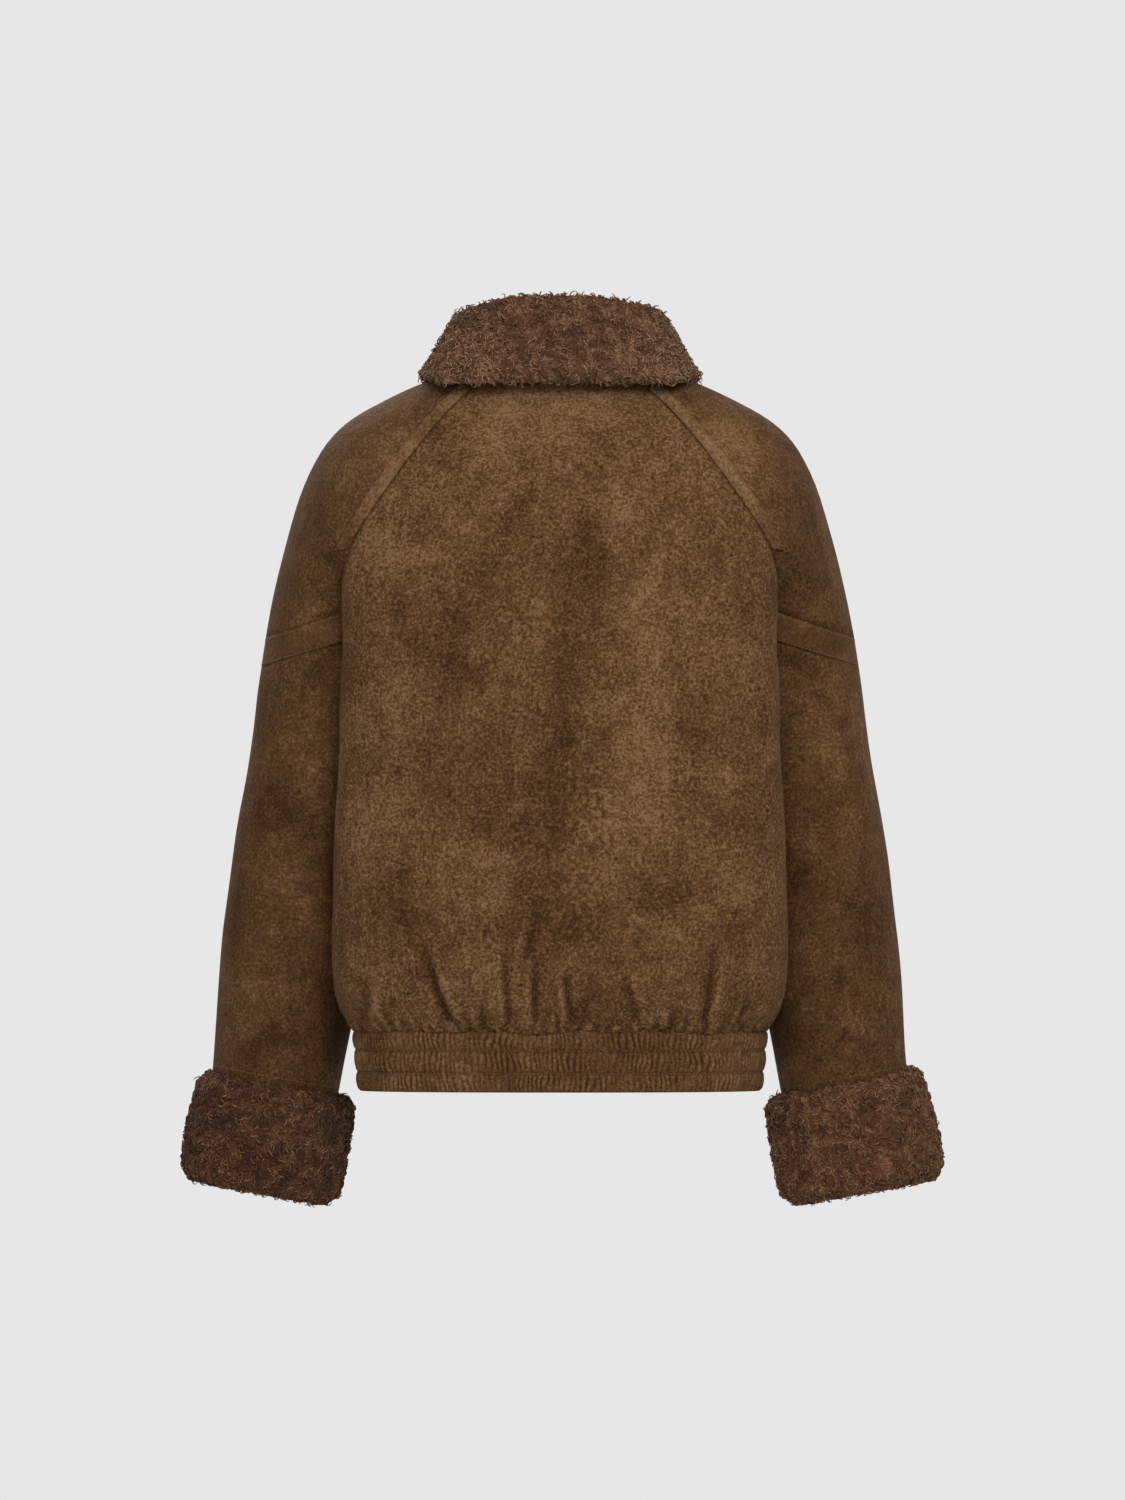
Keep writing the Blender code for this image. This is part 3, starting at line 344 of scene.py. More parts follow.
@dataclass(frozen=True)
class Shearling:
    """Curly wool, with painted shade at its roots and in the gaps between its locks."""

    name: str
    tone: float = 0.0
    root: Colour = srgb(50, 27, 14)
    middle: Colour = srgb(110, 71, 45)
    tip: Colour = srgb(176, 136, 101)
    cloud: float = 0.028
    strand: float = 0.0026
    curl: float = 0.0055
    height_shade_share: float = 0.62
    lock_share: float = 0.58
    cloud_share: float = 0.55
    strand_share: float = 1.0
    gap_shade_share: float = 0.15
    lift: float = 0.14
    relief: float = 0.0011

    def material(self) -> bpy.types.Material:
        """Builds the wool's material, which reads each lock's own tone and paints shade by its
        height.

        Returns:
            The material.
        """
        shader = Shader(self.name)
        clouds = shader.noise(self.cloud, 3.0, 0.6, 0.5)
        strands = shader.noise(self.strand, 4.0, 0.75, 0.6)
        curled = shader.noise(self.curl, 2.0, 0.5, 2.6) - 0.5
        # Painted shade: darker in the curling gaps between locks, and the lower a point lies at a
        # lock's root or in the base's hollows.
        gaps = (1.0 - curled * curled * 260.0).clamped()
        tone = (
            self.tone
            + shader.painted("height") * self.height_shade_share
            + shader.painted("tone") * self.lock_share
            + (clouds - 0.5) * self.cloud_share
            + (strands - 0.5) * self.strand_share
            - gaps * self.gap_shade_share
            + self.lift
        )
        colour = shader.ramp(tone, (0.0, self.root), (0.5, self.middle), (1.0, self.tip))
        shader.set(Base_Color=colour, Roughness=0.92, Specular_IOR_Level=0.2)
        shader.set(Sheen_Weight=0.15, Sheen_Roughness=0.5, Sheen_Tint=(0.75, 0.60, 0.48, 1.0))
        shader.bump(strands - gaps * 0.7, self.relief)
        return shader.material


@dataclass(frozen=True)
class WovenTape:
    """Herringbone tape: two sets of slanting ribs that meet along the tape's middle."""

    name: str
    colour: Colour = srgb(52, 36, 24)
    light: Colour = srgb(78, 58, 40)
    rib: float = 0.0009

    def material(self) -> bpy.types.Material:
        """Builds the tape's material.

        Returns:
            The material.
        """
        shader = Shader(self.name)
        parts = shader.node("ShaderNodeSeparateXYZ", None, {0: shader.place})
        across = Amount(shader, parts.outputs["X"])
        up = Amount(shader, parts.outputs["Z"])
        slant = (up + across.absolute()) * (math.tau / self.rib)
        ribs = slant.sine() * 0.5 + 0.5
        uneven = shader.noise(0.004, 2.0)
        shader.set(Base_Color=shader.mixed(ribs * 0.6 + uneven * 0.4, self.colour, self.light))
        shader.set(Roughness=0.82, Specular_IOR_Level=0.2)
        shader.bump(ribs, 0.00025)
        return shader.material


@dataclass(frozen=True)
class Brass:
    """Aged brass, darker and rougher where it has not been rubbed."""

    name: str
    bright: Colour = srgb(176, 142, 92)
    worn: Colour = srgb(104, 78, 48)

    def material(self) -> bpy.types.Material:
        """Builds the metal's material.

        Returns:
            The material.
        """
        shader = Shader(self.name)
        tarnish = shader.noise(0.0035, 4.0, 0.6)
        brushed = shader.noise(0.0012, 2.0, 0.5, 0.0, shader.stretched(4.0, 1.0, 0.25))
        share = ((tarnish - 0.35) * 2.2).clamped()
        shader.set(Base_Color=shader.mixed(share, self.bright, self.worn), Metallic=1.0)
        shader.set(Roughness=0.28 + share * 0.22)
        shader.bump(brushed, 0.00006)
        return shader.material


@dataclass(frozen=True)
class Thread:
    """Twisted sewing thread with a slight gloss."""

    name: str
    colour: Colour = srgb(92, 66, 41)
    light: Colour = srgb(138, 106, 73)

    def material(self) -> bpy.types.Material:
        """Builds the thread's material.

        Returns:
            The material.
        """
        shader = Shader(self.name)
        twist = shader.noise(0.0005, 2.0)
        shader.set(Base_Color=shader.mixed(twist, self.colour, self.light))
        shader.set(Roughness=0.6, Specular_IOR_Level=0.35)
        shader.bump(twist, 0.0001)
        return shader.material


# ---- Meshes ------------------------------------------------------------------------------------
def rows_of(mesh: bpy.types.Mesh, what: str) -> np.ndarray:
    """What each of a mesh's points holds, as rows of x, y and z.

    Args:
        mesh: The mesh.
        what: Its points' property, co for their places or normal for their normals.

    Returns:
        A row for each point.
    """
    flat = np.empty(len(mesh.vertices) * 3, np.float32)
    mesh.vertices.foreach_get(what, flat)
    return flat.reshape(-1, 3).astype(float)


def points_of(mesh: bpy.types.Mesh) -> np.ndarray:
    """A mesh's points as rows of x, y and z."""
    return rows_of(mesh, "co")


def normals_of(mesh: bpy.types.Mesh) -> np.ndarray:
    """A mesh's point normals as rows of x, y and z."""
    return rows_of(mesh, "normal")


def move_points(mesh: bpy.types.Mesh, points: np.ndarray) -> None:
    """Moves all a mesh's points."""
    mesh.vertices.foreach_set("co", points.astype(np.float32).ravel())
    mesh.update()


def paint(mesh: bpy.types.Mesh, name: str, amounts: np.ndarray) -> None:
    """Stores an amount on each of a mesh's points."""
    layer = mesh.attributes.new(name, "FLOAT", "POINT")
    layer.data.foreach_set("value", amounts.astype(np.float32))


def unit(ways: np.ndarray) -> np.ndarray:
    """Rows of directions, each made one long."""
    return ways / np.maximum(np.linalg.norm(ways, axis=1, keepdims=True), 1e-6)


def along_surface(ways: np.ndarray, normals: np.ndarray) -> np.ndarray:
    """Rows of directions without the part of each that points along its normal."""
    return ways - normals * np.sum(ways * normals, axis=1, keepdims=True)


def linked(name: str, mesh: bpy.types.Mesh) -> bpy.types.Object:
    """Makes a piece of a mesh and links it to the scene.

    Args:
        name: The piece's name.
        mesh: Its mesh.

    Returns:
        The piece.
    """
    piece = bpy.data.objects.new(name, mesh)
    bpy.context.scene.collection.objects.link(piece)
    return piece


def tube_faces(first: int, rings: int, sides: int) -> list[tuple[int, int, int, int]]:
    """The faces of a tube whose points lie ring after ring.

    Args:
        first: The number of the tube's first point.
        rings: How many rings it has.
        sides: How many points each ring has.

    Returns:
        The four points of each face.
    """
    faces = []
    for ring in range(rings - 1):
        for k in range(sides):
            one = first + ring * sides + k
            two = first + ring * sides + (k + 1) % sides
            faces.append((one, two, two + sides, one + sides))
    return faces


def piece_from_arrays(name: str, points: np.ndarray, faces: np.ndarray) -> bpy.types.Object:
    """A smooth piece made at once from arrays of points and of faces with equal corners.

    Args:
        name: The piece's name.
        points: Its points.
        faces: The points of each face, all with as many corners.

    Returns:
        The piece, linked to the scene.
    """
    mesh = bpy.data.meshes.new(name)
    corners = faces.shape[1]
    mesh.vertices.add(len(points))
    mesh.loops.add(faces.size)
    mesh.polygons.add(len(faces))
    mesh.vertices.foreach_set("co", points.astype(np.float32).ravel())
    mesh.loops.foreach_set("vertex_index", faces.astype(np.int32).ravel())
    mesh.polygons.foreach_set("loop_start", np.arange(0, faces.size, corners, dtype=np.int32))
    mesh.update(calc_edges=True)
    mesh.shade_smooth()
    return linked(name, mesh)


def evaluated(piece: bpy.types.Object) -> bpy.types.Mesh:
    """A piece's mesh with its modifiers worked in.

    Args:
        piece: The piece.

    Returns:
        A new mesh.
    """
    bpy.context.view_layer.update()
    graph = bpy.context.evaluated_depsgraph_get()
    return bpy.data.meshes.new_from_object(piece.evaluated_get(graph))


def with_modifier(piece: bpy.types.Object, kind: str, settings: Mapping[str, object]) -> None:
    """Works one modifier into a piece's mesh.

    Args:
        piece: The piece.
        kind: The modifier's type.
        settings: Its properties by name.
    """
    modifier = piece.modifiers.new(kind.lower(), kind)
    for name, setting in settings.items():
        setattr(modifier, name, setting)
    mesh = evaluated(piece)
    piece.modifiers.clear()
    piece.data = mesh


def welded_copy(
    node: bpy.types.Object, name: str, sharp: float, crispness: float = 1.0
) -> bpy.types.Object:
    """A copy of a solid in quads, whose sharp edges are marked to stay through smoothing.

    Args:
        node: The solid's object.
        name: The copy's name.
        sharp: The least angle of an edge that stays sharp, in degrees.
        crispness: How sharp such an edge stays, from 0 to 1.

    Returns:
        The copy, linked to the scene.
    """
    bm = bmesh.new()
    bm.from_mesh(node.data)
    bmesh.ops.remove_doubles(bm, verts=bm.verts, dist=0.00001)
    limit = math.radians(sharp)
    bmesh.ops.join_triangles(
        bm, faces=bm.faces, angle_face_threshold=limit, angle_shape_threshold=math.radians(60)
    )
    crease = bm.edges.layers.float.new("crease_edge")
    for edge in bm.edges:
        if len(edge.link_faces) == 2 and edge.calc_face_angle() > limit:
            edge[crease] = crispness
    mesh = bpy.data.meshes.new(name)
    bm.to_mesh(mesh)
    bm.free()
    return linked(name, mesh)


def finished(piece: bpy.types.Object, material: bpy.types.Material, slot: str) -> None:
    """Gives a piece its material, and lets it ride on the jacket.

    Args:
        piece: The piece.
        material: What it is made of.
        slot: Not used.
    """
    piece.data.materials.clear()
    piece.data.materials.append(material)
    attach(piece, JACKET)


def surface_of(pieces: Iterable[bpy.types.Object]) -> BVHTree:
    """A search tree over the faces of some pieces.

    Args:
        pieces: The pieces.

    Returns:
        The tree.
    """
    points: list[Vector] = []
    faces: list[list[int]] = []
    for piece in pieces:
        first = len(points)
        points += [vert.co.copy() for vert in piece.data.vertices]
        faces += [[first + i for i in face.vertices] for face in piece.data.polygons]
    return BVHTree.FromPolygons(points, faces)


# ---- Folds -------------------------------------------------------------------------------------
class Side(Enum):
    """Which side of the jacket a fold or a patch lies on."""

    BACK = -1
    FRONT = 1
    BOTH = 0


@dataclass(frozen=True)
class Fold:
    """A soft trough between two places seen from the back or front, in millimetres.

    A ridge of cloth stands beside it, on the side that lean says: 1 to the right of its way down.
    """

    x: float
    z: float
    end_x: float
    end_z: float
    depth: float
    width: float
    side: Side = Side.BACK
    lean: float = 0.0
    sharp_end: float = 0.10

    def rise(self, points: np.ndarray) -> np.ndarray:
        """How far the fold moves each point outwards, in metres.

        Args:
            points: The cloth's points.

        Returns:
            An amount for each point, less than 0 in the trough and more on its ridge.
        """
        start = np.array([self.x, self.z]) * MM
        reach = np.array([self.end_x, self.end_z]) * MM - start
        length = np.linalg.norm(reach)
        place = points[:, (0, 2)] - start
        share = (place @ reach) / length**2
        across = (place[:, 0] * reach[1] - place[:, 1] * reach[0]) / length / (self.width * MM)
        across += 0.45 * np.sin(share * 5.0 + self.x)
        fade_in = smooth(share / 0.6)
        fade_out = smooth((1.0 - share) / self.sharp_end)
        trough = np.exp(-(across**2))
        ridge = 0.55 * np.exp(-((across - 1.9 * self.lean) ** 2) * 0.8) * abs(self.lean)
        return (ridge - trough) * fade_in * fade_out * self.depth * MM

    def mirrored(self) -> Fold:
        """The same fold on the other half."""
        return replace(self, x=-self.x, end_x=-self.end_x, lean=-self.lean)


@dataclass(frozen=True)
class Patch:
    """A soft cloud painted lighter or darker, in millimetres: painted light and shade in some
    places, the material's own tone in others.
    """

    x: float
    z: float
    half_width: float
    half_height: float
    lighter: float
    side: Side = Side.BACK

    def shade(self, points: np.ndarray) -> np.ndarray:
        """How much lighter each point is.

        Args:
            points: The cloth's points.

        Returns:
            An amount for each point.
        """
        across = (points[:, 0] / MM - self.x) / self.half_width
        up = (points[:, 2] / MM - self.z) / self.half_height
        return self.lighter * np.exp(-(across**2 + up**2))


def smooth(value: np.ndarray) -> np.ndarray:
    """A smooth step from 0 to 1."""
    value = np.clip(value, 0.0, 1.0)
    return value * value * (3.0 - 2.0 * value)


def waves(points: np.ndarray, size: float, seed: float) -> np.ndarray:
    """A gentle unevenness between about -1 and 1, with waves of this size in metres.

    Args:
        points: Where it is read.
        size: The size of a wave.
        seed: What makes one piece's waves unlike another's.

    Returns:
        An amount for each point.
    """
    turn = points * (math.tau / size)
    return (
        np.sin(turn[:, 0] + 1.3 * np.sin(turn[:, 2] * 0.7 + seed) + seed)
        + np.sin(turn[:, 2] * 0.8 + 1.1 * np.sin(turn[:, 0] * 0.6 - seed) + 2.0 * seed)
        + np.sin((turn[:, 1] + turn[:, 0]) * 0.9 + seed * 3.0)
    ) / 3.0


# ---- Directions straight out of the cloth ------------------------------------------------------
BODY_HALF = (0.195, 0.140)
SLEEVE_MIDDLE = np.array([
    (60.0, 5.0, -60.0),
    (150.0, 12.0, -140.0),
    (203.0, 28.0, -255.0),
    (215.0, 31.0, -345.0),
    (231.0, 35.0, -460.0),
    (245.0, 39.0, -575.0),
    (266.0, 43.0, -720.0),
]) * MM


def out_of_body(points: np.ndarray) -> np.ndarray:
    """The level direction straight out of the torso at each point.

    Args:
        points: The points.

    Returns:
        A unit direction for each.
    """
    half_width, half_depth = BODY_HALF
    across = points[:, 0] / half_width**2
    out = np.stack([across, points[:, 1] / half_depth**2, np.zeros(len(points))], axis=1)
    return unit(out)


def out_of_sleeve(points: np.ndarray) -> np.ndarray:
    """The direction from the middle line of the nearer sleeve to each point.

    Args:
        points: The points.

    Returns:
        A unit direction for each.
    """
    side = np.where(points[:, 0] < 0.0, -1.0, 1.0)
    right = points.copy()
    right[:, 0] *= side
    least = np.full(len(points), np.inf)
    out = np.zeros_like(points)
    for start, end in zip(SLEEVE_MIDDLE[:-1], SLEEVE_MIDDLE[1:]):
        reach = end - start
        share = np.clip((right - start) @ reach / (reach @ reach), 0.0, 1.0)
        gap = right - (start + share[:, None] * reach)
        distance = np.linalg.norm(gap, axis=1)
        closer = distance < least
        least = np.where(closer, distance, least)
        out[closer] = gap[closer] / distance[closer, None]
    out[:, 0] *= side
    return out


def round_body(points: np.ndarray) -> np.ndarray:
    """About how far round the torso each point lies from the middle of the back, in metres.

    Args:
        points: The points.

    Returns:
        A distance for each, less than 0 on the wearer's left.
    """
    half_width, half_depth = BODY_HALF
    turn = np.arctan2(points[:, 0] / half_width, -points[:, 1] / half_depth)
    return turn * (half_width + half_depth) / 2.0


def facing(side: Side, out: np.ndarray) -> np.ndarray:
    """How far each direction faces the back or the front, from 0 to 1.

    Args:
        side: Which side is asked for.
        out: The directions out of the cloth.

    Returns:
        A share for each direction.
    """
    if side is Side.BOTH:
        return np.ones(len(out))
    return smooth((out[:, 1] * side.value + 0.10) / 0.35)


# ---- Suede panels ------------------------------------------------------------------------------
@dataclass(frozen=True)
class Cut:
    """The flat shape a piece is cut to: its widest and longest, in metres, and its area."""

    width: float
    length: float
    area: float
    held: str = "stretched"


@dataclass
class Panel:
    """One sewn piece of cloth, as a finer shell on its solid's form."""

    node: str
    cut: Cut
    material: bpy.types.Material
    slot: str = "suede"
    outward: OverPoints = out_of_body
    folds: Sequence[Fold] = ()
    patches: Sequence[Patch] = ()
    relief: OverPoints | None = None
    fit: OverPoints | None = None
    swell: OverPoints | None = None
    shade_depth: float = 2.8 * MM
    wave: float = 85.0 * MM
    level: int = 2
    sharp: float = 35.0
    soft: float = 0.0
    piece: bpy.types.Object | None = field(default=None, init=False)

    def build(self, frame: Frame) -> Panel:
        """Args:
            frame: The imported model.

        Returns:
            This panel, with its piece made.
        """
        node = frame["nodes"][self.node]
        piece = welded_copy(node, f"dressed_{self.node}", self.sharp)
        with_modifier(piece, "SUBSURF", {"levels": self.level, "render_levels": self.level})
        points = points_of(piece.data)
        out = self.outward(points)
        rise = np.zeros(len(points))
        for fold in self.folds:
            rise += fold.rise(points) * facing(fold.side, out)
        if self.relief is not None:
            rise += self.relief(points)
        # Painted shade: the colour is darkened in each trough and lightened on each ridge that is
        # pressed in.
        nap = np.clip(rise / self.shade_depth, -1.5, 0.5)
        rise += self.soft * waves(points, self.wave, len(self.node) * 0.7)
        if self.swell is not None:
            rise += self.swell(points)
        # The patches paint light and shade in some places and the material's own tone in others.
        for patch in self.patches:
            nap += patch.shade(points) * facing(patch.side, out)
        paint(piece.data, "nap", nap)
        points += out * rise[:, None]
        move_points(piece.data, points if self.fit is None else self.fit(points))
        piece.data.shade_smooth()
        self.piece = piece
        finished(piece, self.material, self.slot)
        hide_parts(self.node)
        LOG.info("%s: %d faces", piece.name, len(piece.data.polygons))
        return self


EDGE_ANGLE = math.radians(35.0)
LEAST_OUTER = 0.55
MOST_SIDEWAYS = 0.6


def outer_edges(
    bm: bmesh.types.BMesh, outward: OverPoints
) -> dict[int, list[tuple[int, Vector]]]:
    """Finds the sharp edges round a panel's outer face.

    Args:
        bm: The panel's solid.
        outward: The direction out of the cloth at some points.

    Returns:
        For each point on them its neighbours along them, each with the way in from the edge.
    """
    ways: dict[int, list[tuple[int, Vector]]] = {}
    for edge in bm.edges:
        if len(edge.link_faces) != 2 or edge.calc_face_angle() < EDGE_ANGLE:
            continue
        faces = []
        for face in edge.link_faces:
            middle = np.array([face.calc_center_median()])
            faces.append((Vector(outward(middle)[0]).dot(face.normal), face))
        (sideways, _), (outer, face) = sorted(faces, key=lambda pair: pair[0])
        if outer < LEAST_OUTER or sideways > MOST_SIDEWAYS:
            continue
        along = (edge.verts[1].co - edge.verts[0].co).normalized()
        inward = face.normal.cross(along)
        if inward.dot(face.calc_center_median() - edge.verts[0].co) < 0:
            inward.negate()
        for vert, other in (edge.verts, reversed(edge.verts)):
            ways.setdefault(vert.index, []).append((other.index, inward))
    return ways


def chained(ways: Mapping[int, Sequence[tuple[int, Vector]]]) -> list[list[int]]:
    """Joins edges end to end, from a loose end where there is one.

    Args:
        ways: Each point's neighbours along the edges.

    Returns:
        The points of each chain, in order.
    """
    chains = []
    waiting = set(ways)
    while waiting:
        start = next((i for i in sorted(waiting) if len(ways[i]) == 1), min(waiting))
        chain = [start]
        waiting.discard(start)
        while nexts := [other for other, _ in ways[chain[-1]] if other in waiting]:
            chain.append(nexts[0])
            waiting.discard(nexts[0])
        chains.append(chain)
    return chains


def outline_of(node: bpy.types.Object, outward: OverPoints) -> list[PlacesAndWays]:
    """The sharp edges round a panel's outer face, chained, with the ways in from them.

    Args:
        node: The panel's solid.
        outward: The direction out of the cloth at some points.

    Returns:
        One pair of arrays for each chain: its points, and a unit direction in from each.
    """
    bm = bmesh.new()
    bm.from_mesh(node.data)
    bmesh.ops.remove_doubles(bm, verts=bm.verts, dist=0.00001)
    bm.normal_update()
    ways = outer_edges(bm, outward)
    places = [vert.co.copy() for vert in bm.verts]
    bm.free()
    outline = []
    for chain in chained(ways):
        if len(chain) > 2:
            inwards = np.array([sum((way for _, way in ways[i]), Vector()) for i in chain])
            outline.append((np.array([places[i] for i in chain]), unit(inwards)))
    return outline


# ---- Stitching ---------------------------------------------------------------------------------
FEWEST_STITCHES = 3
STITCH_RINGS = ((-0.5, 0.25), (-0.3, 0.95), (0.0, 1.1), (0.3, 0.95), (0.5, 0.25))


@dataclass
class Seamstress:
    """Sews lines of stitches, which lie half sunk in the cloth, as joined meshes."""

    material: bpy.types.Material
    pitch: float = 3.6 * MM
    length: float = 2.7 * MM
    thick: float = 0.34 * MM
    sides: int = 4
    lift: float = 6.0 * MM
    depth: float = 14.0 * MM

    def stitches(self, name: str, lines: Sequence[PlacesAndWays]) -> None:
        """Makes one piece of all the stitches on some lines.

        Args:
            name: The piece's name.
            lines: For each line its points, a pitch apart, and the cloth's outward normals.
        """
        points = []
        faces = []
        for line, normals in lines:
            if len(line) < FEWEST_STITCHES:
                continue
            along = unit(np.gradient(line, axis=0))
            across = unit(np.cross(along, normals))
            up = np.cross(across, along)
            for middle, forward, side, rise in zip(line, along, across, up):
                faces += tube_faces(len(points), len(STITCH_RINGS), self.sides)
                for place, swell in STITCH_RINGS:
                    sink = (0.35 - 3.2 * place**2) * self.thick
                    centre = middle + forward * place * self.length + rise * sink
                    for k in range(self.sides):
                        turn = math.tau * k / self.sides
                        spread = side * math.cos(turn) + rise * math.sin(turn) * 0.8
                        points.append(centre + spread * swell * self.thick)
        if not faces:
            LOG.warning("%s: no stitches", name)
            return
        piece = piece_from_arrays(name, np.array(points), np.array(faces))
        close_ends(piece)
        finished(piece, self.material, "suede")
        LOG.info("%s: %d faces", name, len(piece.data.polygons))

    def beside_edge(
        self,
        panel: Panel,
        node: bpy.types.Object,
        inset: float,
        keep: OverPoints | None = None,
    ) -> list[PlacesAndWays]:
        """Lines of stitch places a little way in from a panel's edges.

        Args:
            panel: The dressed panel.
            node: Its solid, whose edges are followed.
            inset: How far in from the edge the line runs.
            keep: Which places are sewn, all of them unless given.

        Returns:
            For each line its points and normals.
        """
        surface = surface_of([panel.piece])
        lines = []
        for points, inwards in outline_of(node, panel.outward):
            lines += self.on_surface(surface, points + inwards * inset, panel.outward, keep)
        return lines

    def on_surface(
        self,
        surface: BVHTree,
        path: np.ndarray,
        outward: OverPoints,
        keep: OverPoints | None = None,
    ) -> list[PlacesAndWays]:
        """Divides a path into stitch places and sets them down on the cloth.

        Args:
            surface: The cloth.
            path: The path's points, close to the cloth.
            outward: The direction out of the cloth at some points.
            keep: Which places are sewn, all of them unless given.

        Returns:
            For each unbroken line its points and normals.
        """
        even = evenly(path, self.pitch)
        if len(even) == 0:
            return []
        places, normals = set_down(surface, even, outward(even), self.lift, self.depth)
        good = ~np.isnan(places[:, 0])
        if keep is not None:
            good &= keep(np.nan_to_num(places))
        return split_runs(places, normals, good)


def evenly(path: np.ndarray, pitch: float) -> np.ndarray:
    """Places about a pitch apart along a path.

    Args:
        path: The path's points.
        pitch: How far apart they are.

    Returns:
        The places, or none where the path is too short for a line of stitches.
    """
    steps = np.linalg.norm(np.diff(path, axis=0), axis=1)
    reach = np.concatenate([[0.0], np.cumsum(steps)])
    count = int(reach[-1] / pitch)
    if count < FEWEST_STITCHES:
        return np.empty((0, 3))
    at = (np.arange(count) + 0.5) * reach[-1] / count
    return np.stack([np.interp(at, reach, path[:, k]) for k in range(3)], axis=1)


def set_down(
    surface: BVHTree, places: np.ndarray, ways: np.ndarray, lift: float, depth: float
) -> PlacesAndWays:
    """Sets places down on the cloth.

    Args:
        surface: The cloth.
        places: The places, above or below it.
        ways: The direction out of the cloth at each.
        lift: How far out of each place the search for the cloth starts.
        depth: How far in it goes.

    Returns:
        The places on the cloth, not a number where it is missed, and the normals there.
    """
    landed = []
    normals = []
    for place, way in zip(places, ways):
        found, normal, _, _ = surface.ray_cast(Vector(place + way * lift), Vector(-way), depth)
        missed = found is None
        landed.append(Vector((math.nan,) * 3) if missed else found)
        normals.append(Vector((0.0, 0.0, 1.0)) if missed else normal)
    return np.array(landed), np.array(normals)


def split_runs(
    points: np.ndarray, normals: np.ndarray, good: np.ndarray
) -> list[PlacesAndWays]:
    """The unbroken runs of places that are good, each with its normals.

    Args:
        points: The places.
        normals: Their normals.
        good: Which of them are good.

    Returns:
        For each run its points and normals.
    """
    runs = []
    start = None
    for i, fine in enumerate([*good, False]):
        if fine and start is None:
            start = i
        elif not fine and start is not None:
            runs.append((points[start:i], normals[start:i]))
            start = None
    return runs


def close_ends(piece: bpy.types.Object) -> None:
    """Closes the open ends of a piece made of short tubes.

    Args:
        piece: The piece.
    """
    bm = bmesh.new()
    bm.from_mesh(piece.data)
    bmesh.ops.holes_fill(bm, edges=[edge for edge in bm.edges if edge.is_boundary], sides=8)
    bmesh.ops.recalc_face_normals(bm, faces=bm.faces)
    bm.to_mesh(piece.data)
    bm.free()
    piece.data.shade_smooth()


